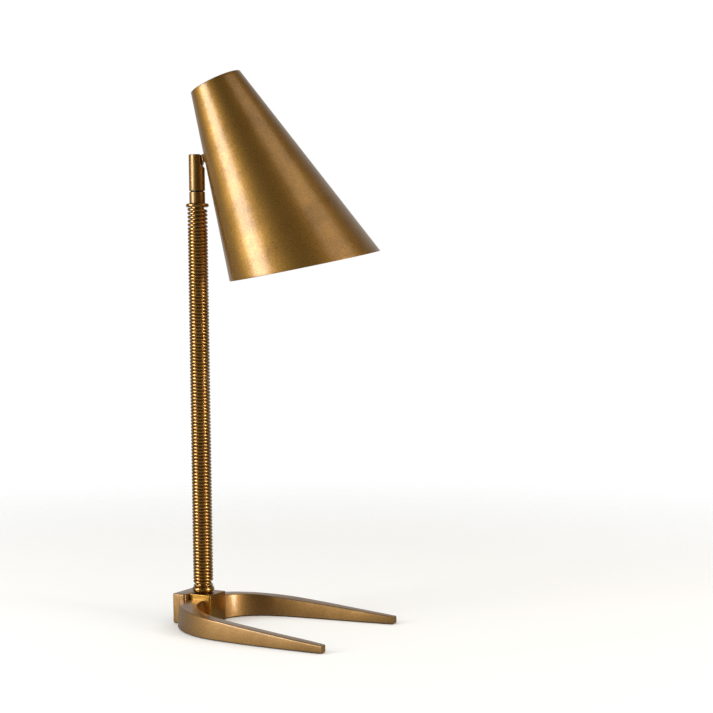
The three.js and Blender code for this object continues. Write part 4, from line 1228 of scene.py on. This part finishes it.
@dataclass
class Lampholder:
    """Holder, its insert and switch, and the bulb, under the shade's disc.

    Drops are below the shade's top edge.
    """

    placement: Placement
    radius: float = 19.0
    wall: float = 1.6
    top: float = 7.8
    cap_height: float = 18.0
    boss_radius: float = 7.6
    boss_height: float = 4.0
    boss_bore: float = 5.2
    body_height: float = 27.0
    ribs: int = 40
    rib_depth: float = 0.5
    rib_start: float = 2.5
    rib_fade: float = 1.5
    bulb_radius: float = 30.0
    bulb_drop: float = 120.1
    glass_wall: float = 0.8
    glass_neck: float = 11.7
    glass_top: float = 67.1
    screw_radius: float = 12.6
    screw_top: float = 46.1
    screw_bottom: float = 70.1
    thread_pitch: float = 3.63
    thread_depth: float = 0.55
    knob_drop: float = 8.0
    knob_radius: float = 4.6
    knob_length: float = 7.5
    shaft_radius: float = 1.6
    flutes: int = 18
    flute_depth: float = 0.35

    def cap_mesh(self) -> bpy.types.Mesh:
        """Holder cap: a moulded dome with a boss for the nipple.

        Returns:
            The mesh, in metres.
        """
        joint = self.top + self.cap_height
        inner = self.radius - self.wall
        shoulder = self.top + self.boss_height
        return turned_mesh("holder_dome", [
            (inner, -joint, 0.2), (self.radius, -joint, 0.4), (self.radius, -shoulder - 3.6, 3.5),
            (self.radius - 8, -shoulder, 2.0), (self.boss_radius, -shoulder, 0.8),
            (self.boss_radius, -self.top, 0.6), (self.boss_bore, -self.top, 0.2),
            (self.boss_bore, -shoulder - self.wall, 0.2), (self.radius - 8.6, -shoulder - self.wall, 1.2),
            (inner, -shoulder - 4.8, 2.2),
        ], self.placement, 96)

    def body_mesh(self) -> bpy.types.Mesh:
        """Holder body: a moulded sleeve with grip ribs, which fade in above its lower edge.

        The outside's radius is the sleeve's less the rib depth times the squared sine of half the rib angle.

        Returns:
            The mesh, in metres.
        """
        joint = self.top + self.cap_height + SEAT_GAP
        bottom = joint + self.body_height
        steps = 6
        corners = rounded_outline([
            (self.radius - self.wall, -bottom, 0.3), (self.radius, -bottom, 0.6),
            (self.radius, -joint, 0.5), (self.radius - self.wall, -joint, 0.3),
        ], steps)
        levels = np.linspace(self.rib_start - bottom, self.rib_start - bottom + 11, 24)
        outside = np.stack([np.full_like(levels, self.radius), levels], -1)
        lower, upper = np.split(corners, [2 * (steps + 1)])
        outline = np.concatenate([lower, outside, upper])
        radius, height = outline[:, :1], outline[:, 1:]
        angle = np.linspace(0, 2 * np.pi, self.ribs * 8, endpoint=False)
        band = np.clip((height + bottom - self.rib_start) / self.rib_fade, 0, 1)
        band = band * (radius > self.radius - 0.05)
        grooved = radius - self.rib_depth * band * np.sin(angle * self.ribs / 2) ** 2
        grid = np.stack([grooved * np.cos(angle), grooved * np.sin(angle), height + 0 * angle], -1)
        return grid_mesh("holder_sleeve", self.placement.place(grid), True, True)

    def glass_mesh(self) -> bpy.types.Mesh:
        """Bulb glass: a neck that swells in an S into a globe, open at the neck.

        Each skin is a Bezier curve from the neck and then a quarter circle; the inner one is a wall smaller.

        Returns:
            The mesh, in metres.
        """
        swell = bezier([
            (self.glass_neck, -self.glass_top - 6), (self.glass_neck, -self.glass_top - 20),
            (self.bulb_radius, 22 - self.bulb_drop), (self.bulb_radius, -self.bulb_drop),
        ], np.linspace(0, 1, 28))
        neck = np.concatenate([[(self.glass_neck, -self.glass_top)], swell])
        turn = np.linspace(0, np.pi / 2, 20)[1:]
        quarter = np.stack([np.cos(turn), -np.sin(turn)], -1)
        quarter[-1, 0] = 0
        outside, inside = (
            np.concatenate([neck - [less, 0], quarter * (self.bulb_radius - less) - [0, self.bulb_drop]])
            for less in (0, self.glass_wall)
        )
        grid = turned_grid(np.concatenate([outside[::-1], inside]), 96)
        return grid_mesh("bulb_globe", self.placement.place(grid), False, True)

    def screw_cap_mesh(self) -> bpy.types.Mesh:
        """Bulb cap: rolled thread between a skirt and the end contact.

        The radius in the thread is the mean plus the thread's depth times the cosine of a turn angle that
        runs with height and with the way round.

        Returns:
            The mesh, in metres.
        """
        top, shoulder = self.screw_top, self.screw_top + 5
        angle = np.linspace(0, 2 * np.pi, 96, endpoint=False)
        height = np.linspace(-self.screw_bottom, -shoulder, 90)[:, None]
        fade = np.clip((height + self.screw_bottom) / 2.5, 0, 1) * np.clip((-shoulder - height) / 2, 0, 1)
        wave = np.cos(2 * np.pi * height / self.thread_pitch + angle)
        radius = self.screw_radius + self.thread_depth * fade * wave
        thread = np.stack([radius * np.cos(angle), radius * np.sin(angle), height + 0 * angle], -1)
        contact = turned_grid(np.array([
            (4.8, -top - 1.6), (4.6, -top - 0.4), (3.2, -top), (0, -top), (0, -top - 2.4), (9.6, -top - 6.4),
            (11.9, -top - 8), (11.9, -self.screw_bottom),
        ]), 96)
        grid = np.concatenate([thread, contact])
        return grid_mesh("bulb_screw_cap", self.placement.place(grid), True, True)

    def knob_mesh(self) -> bpy.types.Mesh:
        """Switch knob: a fluted button on a shaft, turned about the shade's Y.

        The button's radius is less by the flute depth times the squared sine of half the flute angle.

        Returns:
            The mesh, in metres.
        """
        depth = self.top + self.cap_height + self.knob_drop
        inner = self.radius + 1.2
        outer = inner + self.knob_length
        outline = rounded_outline([
            (PINHOLE, self.radius - 2.8, 0.0), (self.shaft_radius, self.radius - 2.8, 0.0),
            (self.shaft_radius, inner, 0.0), (self.knob_radius, inner, 0.5), (self.knob_radius, outer, 1.2),
            (PINHOLE, outer, 0.0),
        ], 5)
        radius, height = outline[:, :1], outline[:, 1:]
        angle = np.linspace(0, 2 * np.pi, 144, endpoint=False)
        flute = np.sin(angle * self.flutes / 2) ** 2
        fluted = radius - self.flute_depth * (radius > self.knob_radius - 0.3) * flute
        grid = np.stack([fluted * np.cos(angle), height + 0 * angle, fluted * np.sin(angle) - depth], -1)
        return grid_mesh("switch_button", self.placement.place(grid), False, True)

    def build(self, finishes: "Finishes") -> None:
        """Makes the holder's pieces and dresses them.

        Args:
            finishes: The lamp's materials.
        """
        Dressing("lampshade", "phenolic", finishes.phenolic, ("holder_cap",)).finish(self.cap_mesh())
        Dressing("lampshade", "phenolic", finishes.phenolic, ("holder_body",), 40).finish(self.body_mesh())
        Dressing("lampshade", "opal_glass", finishes.glass, ("bulb_glass",), 60).finish(self.glass_mesh())
        Dressing("lampshade", "nickel", finishes.nickel, ("bulb_cap",), 40).finish(self.screw_cap_mesh())
        Dressing("knob", "phenolic", finishes.phenolic, ("switch_knob",), 40).finish(self.knob_mesh())
        dress_node("contact_block", finishes.steatite)
        dress_node("shade_lead", finishes.braid)


# ---------------------------------------------------------------- finishes in use


@dataclass
class Finishes:
    """The lamp's materials, each made once."""

    shade: bpy.types.Material
    cast: bpy.types.Material
    leaf: bpy.types.Material
    polished: bpy.types.Material
    turned: bpy.types.Material
    wire: bpy.types.Material
    steel: bpy.types.Material
    blackened: bpy.types.Material
    nickel: bpy.types.Material
    rubber: bpy.types.Material
    phenolic: bpy.types.Material
    steatite: bpy.types.Material
    braid: bpy.types.Material
    glass: bpy.types.Material

    @classmethod
    def mix(cls, shade_frame: Placement) -> "Finishes":
        """Makes the set; the shade's own frame turns the marks on its sheet.

        Args:
            shade_frame: The shade's placement.

        Returns:
            The set of materials.
        """
        return cls(
            # Rolled brass sheet, dipped and waxed: satin, with a fine grain and faint rings round the cone.
            shade=AgedBrass("brass sheet, aged satin", placement=shade_frame, marks=Marks.RINGS).material(),
            # Cast brass, belt-finished: duller and browner, with lines along the arms.
            cast=AgedBrass(
                "cast brass, brushed and aged", bright="#c39654", brown="#a2783e", roughness=0.5,
                marks=Marks.LENGTHWISE, coat=1.0,
            ).material(),
            leaf=AgedBrass("cast brass, filed", bright="#bd9048", brown="#9c7034", roughness=0.42).material(),
            # Machined brass block, buffed.
            polished=AgedBrass("brass, buffed", bright="#b48638", brown="#98702a", roughness=0.3, drift=0.05,
                               coat=0.3, coat_roughness=0.1).material(),
            # Brass bar, turned on a lathe and left satin: fine rings.
            turned=AgedBrass("brass bar, turned", bright="#b48a42", brown="#8e682c", roughness=0.46,
                             marks=Marks.RINGS, marks_mm=0.5).material(),
            # Drawn brass wire: smooth skin, glossy, dark in the hollows.
            wire=AgedBrass("brass wire, drawn", bright="#dcaa50", brown="#a87830", roughness=0.3, drift=0.06,
                           coat=1.0, coat_roughness=0.12, marks_depth=0.05).material(),
            steel=Moulded("steel, plain turned", "#9a9a9c", "#7f8082", 0.34, 1.0).material(),
            # Near-black partly as blackened steel and partly as painted shade for the seam where the washer
            # sits.
            blackened=Moulded("steel, blackened", "#211f1e", "#171615", 0.5, 1.0).material(),
            nickel=Moulded("nickel plate, rolled", "#c9c5bc", "#b3afa6", 0.2, 1.0, 2.0).material(),
            rubber=Moulded("rubber, moulded black", "#232120", "#181716", 0.75).material(),
            phenolic=Moulded(
                "phenolic, moulded brown-black", "#241c17", "#17120f", 0.36, 0.0, 3.0, 0.03,
            ).material(),
            steatite=Moulded("steatite, pressed and fired", "#e8e1d2", "#d8d0c0", 0.55).material(),
            braid=Braid().material(),
            glass=OpalGlass().material(),
        )


# ---------------------------------------------------------------- studio


@dataclass(frozen=True)
class SoftBox:
    """An area light, placed by the direction it shines from."""

    name: str
    azimuth: float
    elevation: float
    distance: float
    width: float
    height: float
    power: float
    colour: str = "#ffffff"

    def hang(self, target: np.ndarray) -> None:
        """Hangs the light at its distance from the target and aims it there.

        Args:
            target: The point to light.
        """
        azimuth, elevation = math.radians(self.azimuth), math.radians(self.elevation)
        away = np.array([
            math.cos(elevation) * math.cos(azimuth), math.cos(elevation) * math.sin(azimuth),
            math.sin(elevation),
        ])
        data = bpy.data.lights.new(self.name, "AREA")
        data.shape = "RECTANGLE"
        data.size = self.width
        data.size_y = self.height
        data.energy = self.power
        data.color = linear(self.colour)[:3]
        light = bpy.data.objects.new(self.name, data)
        light.matrix_world = (
            Matrix.Translation((target + away * self.distance).tolist())
            @ Matrix.Rotation(azimuth + math.pi / 2, 4, "Z")
            @ Matrix.Rotation(math.pi / 2 - elevation, 4, "X")
        )
        bpy.context.scene.collection.objects.link(light)


@dataclass
class Studio:
    """Pale floor, white surround, soft lights and the camera."""

    heading: float = 28.657  # the camera looks this far round from +Y
    pitch: float = 2.793
    roll: float = -0.65
    lens: float = 83.7
    camera_place: tuple[float, float, float] = (1.0154, -1.5018, 0.3774)
    overhead: float = 2.2

    def camera(self) -> None:
        """Sets up the camera: turned by heading, pitched down and rolled a little."""
        data = bpy.data.cameras.new("camera")
        data.lens = self.lens
        data.sensor_width = 36
        data.clip_end = 50
        camera = bpy.data.objects.new("camera", data)
        camera.matrix_world = (
            Matrix.Translation(self.camera_place)
            @ Matrix.Rotation(math.radians(self.heading), 4, "Z")
            @ Matrix.Rotation(math.radians(90 - self.pitch), 4, "X")
            @ Matrix.Rotation(math.radians(self.roll), 4, "Z")
        )
        bpy.context.scene.collection.objects.link(camera)
        bpy.context.scene.camera = camera

    def floor(self) -> None:
        """A matt floor disc, solid from above only, that fades into the white surround.

        It is painted grey where it is seen in reflections, a painted dimming of its reflection in the brass.
        """
        angle = np.linspace(0, 2 * np.pi, 96, endpoint=False)
        radius = np.array([0, 300, 1500, 9000])
        grid = np.stack([
            radius[:, None] * np.cos(angle), radius[:, None] * np.sin(angle), 0 * radius[:, None] * angle
        ], -1)
        mesh = grid_mesh("floor", grid, False, True)
        if mesh.polygons[0].normal.z < 0:
            mesh.flip_normals()
        floor = as_object(mesh)
        material, tree = blank_material("paper floor, matt white")
        ray = add_node(tree, "ShaderNodeLightPath")
        # Painted reflection: white to the camera and to light, grey in glossy rays, so the brass mirrors a
        # dimmer floor.
        painted_reflection_tone = add_node(
            tree, "ShaderNodeMix", {"data_type": "RGBA"},
            {"Factor": ray.outputs["Is Glossy Ray"], "A": linear("#f4f4f2"), "B": linear("#8a8a88")},
        )
        spot = add_node(tree, "ShaderNodeTexCoord")
        away = add_node(tree, "ShaderNodeVectorMath", {"operation": "LENGTH"}, {0: spot.outputs["Object"]})
        fade = add_node(
            tree,
            "ShaderNodeMapRange",
            {"interpolation_type": "SMOOTHSTEP"},
            {"Value": away.outputs["Value"], "From Min": 0.45, "From Max": 1.3, "To Min": 1.0, "To Max": 0.0},
        )
        side = add_node(tree, "ShaderNodeNewGeometry")
        solid = add_node(
            tree, "ShaderNodeMix", {"data_type": "FLOAT"},
            {"Factor": side.outputs["Backfacing"], "A": fade.outputs[0], "B": 0.0},
        )
        finish_material(tree, {
            "Base Color": painted_reflection_tone.outputs["Result"], "Roughness": 0.9, "Specular IOR Level": 0.1,
            "Alpha": solid.outputs[0],
        })
        mesh.materials.append(material)

    def surround(self) -> None:
        """White behind the lamp and to the sides, dim behind the camera; the background is plain white."""
        world = bpy.data.worlds.new("surround")
        bpy.context.scene.world = world
        world.use_nodes = True
        tree = world.node_tree
        tree.nodes.clear()
        spot = add_node(tree, "ShaderNodeTexCoord")
        ahead = (-math.sin(math.radians(self.heading)), math.cos(math.radians(self.heading)), 0.0)
        facing = add_node(
            tree, "ShaderNodeVectorMath", {"operation": "DOT_PRODUCT"},
            {0: spot.outputs["Generated"], 1: ahead},
        )
        level = add_node(
            tree,
            "ShaderNodeMapRange",
            {"interpolation_type": "SMOOTHSTEP"},
            {
                "Value": facing.outputs["Value"], "From Min": 0.3, "From Max": 1.0,
                "To Min": 0.045, "To Max": 0.5,
            },
        )
        ray = add_node(tree, "ShaderNodeLightPath")
        seen = add_node(
            tree, "ShaderNodeMix", {"data_type": "FLOAT"},
            {"Factor": ray.outputs["Is Camera Ray"], "A": level.outputs[0], "B": 1.0},
        )
        glow = add_node(tree, "ShaderNodeBackground", None, {
            "Color": (1, 1, 1, 1), "Strength": seen.outputs[0],
        })
        add_node(tree, "ShaderNodeOutputWorld", None, {"Surface": glow.outputs[0]})

    def lights(self) -> None:
        """A tall key softbox at the left, a weaker one high on the right and one overhead for the floor."""
        target = np.array([0.05, 0.02, 0.35])
        toward_camera = self.heading - 90
        for box in (
            SoftBox("key", toward_camera - 66, 10, 1.6, 0.72, 1.2, 18),
            SoftBox("fill", toward_camera + 66, 44, 1.8, 1.2, 1.1, 4.6, "#fff0d8"),
            SoftBox("side", toward_camera + 58, 2, 1.8, 0.35, 0.8, 14, "#fff4e2"),
        ):
            box.hang(target)
        sky = bpy.data.lights.new("overhead", "SUN")
        sky.energy = self.overhead
        sky.angle = math.radians(110)
        overhead = bpy.data.objects.new("overhead", sky)
        overhead.visible_glossy = False
        bpy.context.scene.collection.objects.link(overhead)

    def build(self) -> None:
        """Builds the whole studio."""
        self.camera()
        self.floor()
        self.surround()
        self.lights()
        bpy.context.scene.view_settings.view_transform = "Standard"


def head_placements(tilt: float = 24.2) -> tuple[Placement, Placement]:
    """The knuckle's and the shade's own frames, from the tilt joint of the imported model.

    Args:
        tilt: Lean of the shade's axis from upright as it is stored, in degrees.

    Returns:
        The knuckle's placement, with +X to the front of the slot, and the shade's.
    """
    joint = next(j for j in frame["joints"] if j["name"] == "shade_tilt")
    across = -np.array(joint["axis"], float)
    yaw = math.degrees(math.atan2(-across[0], across[1]))
    pivot = np.array(joint["pos_m"], float) / MM
    knuckle = Placement(turned_about_z(yaw), np.zeros(3))
    bare = ConeShade(UPRIGHT)
    turn = knuckle.turn @ turned_about_y(-tilt)
    shade = Placement(turn, pivot - turn @ bare.hinge().origin)
    return knuckle, shade


def main() -> None:
    """Builds the studio and the lamp's sub-assemblies in order."""
    logging.basicConfig(level=logging.INFO, format="%(name)s: %(message)s")
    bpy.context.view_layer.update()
    Studio().build()
    knuckle_frame, shade_frame = head_placements()
    finishes = Finishes.mix(shade_frame)
    WishboneBase().build(finishes)
    WoundStem().build(finishes)
    SwivelKnuckle(knuckle_frame).build(finishes)
    ConeShade(shade_frame).build(finishes)
    Lampholder(shade_frame).build(finishes)


if __name__ == "__main__":
    main()
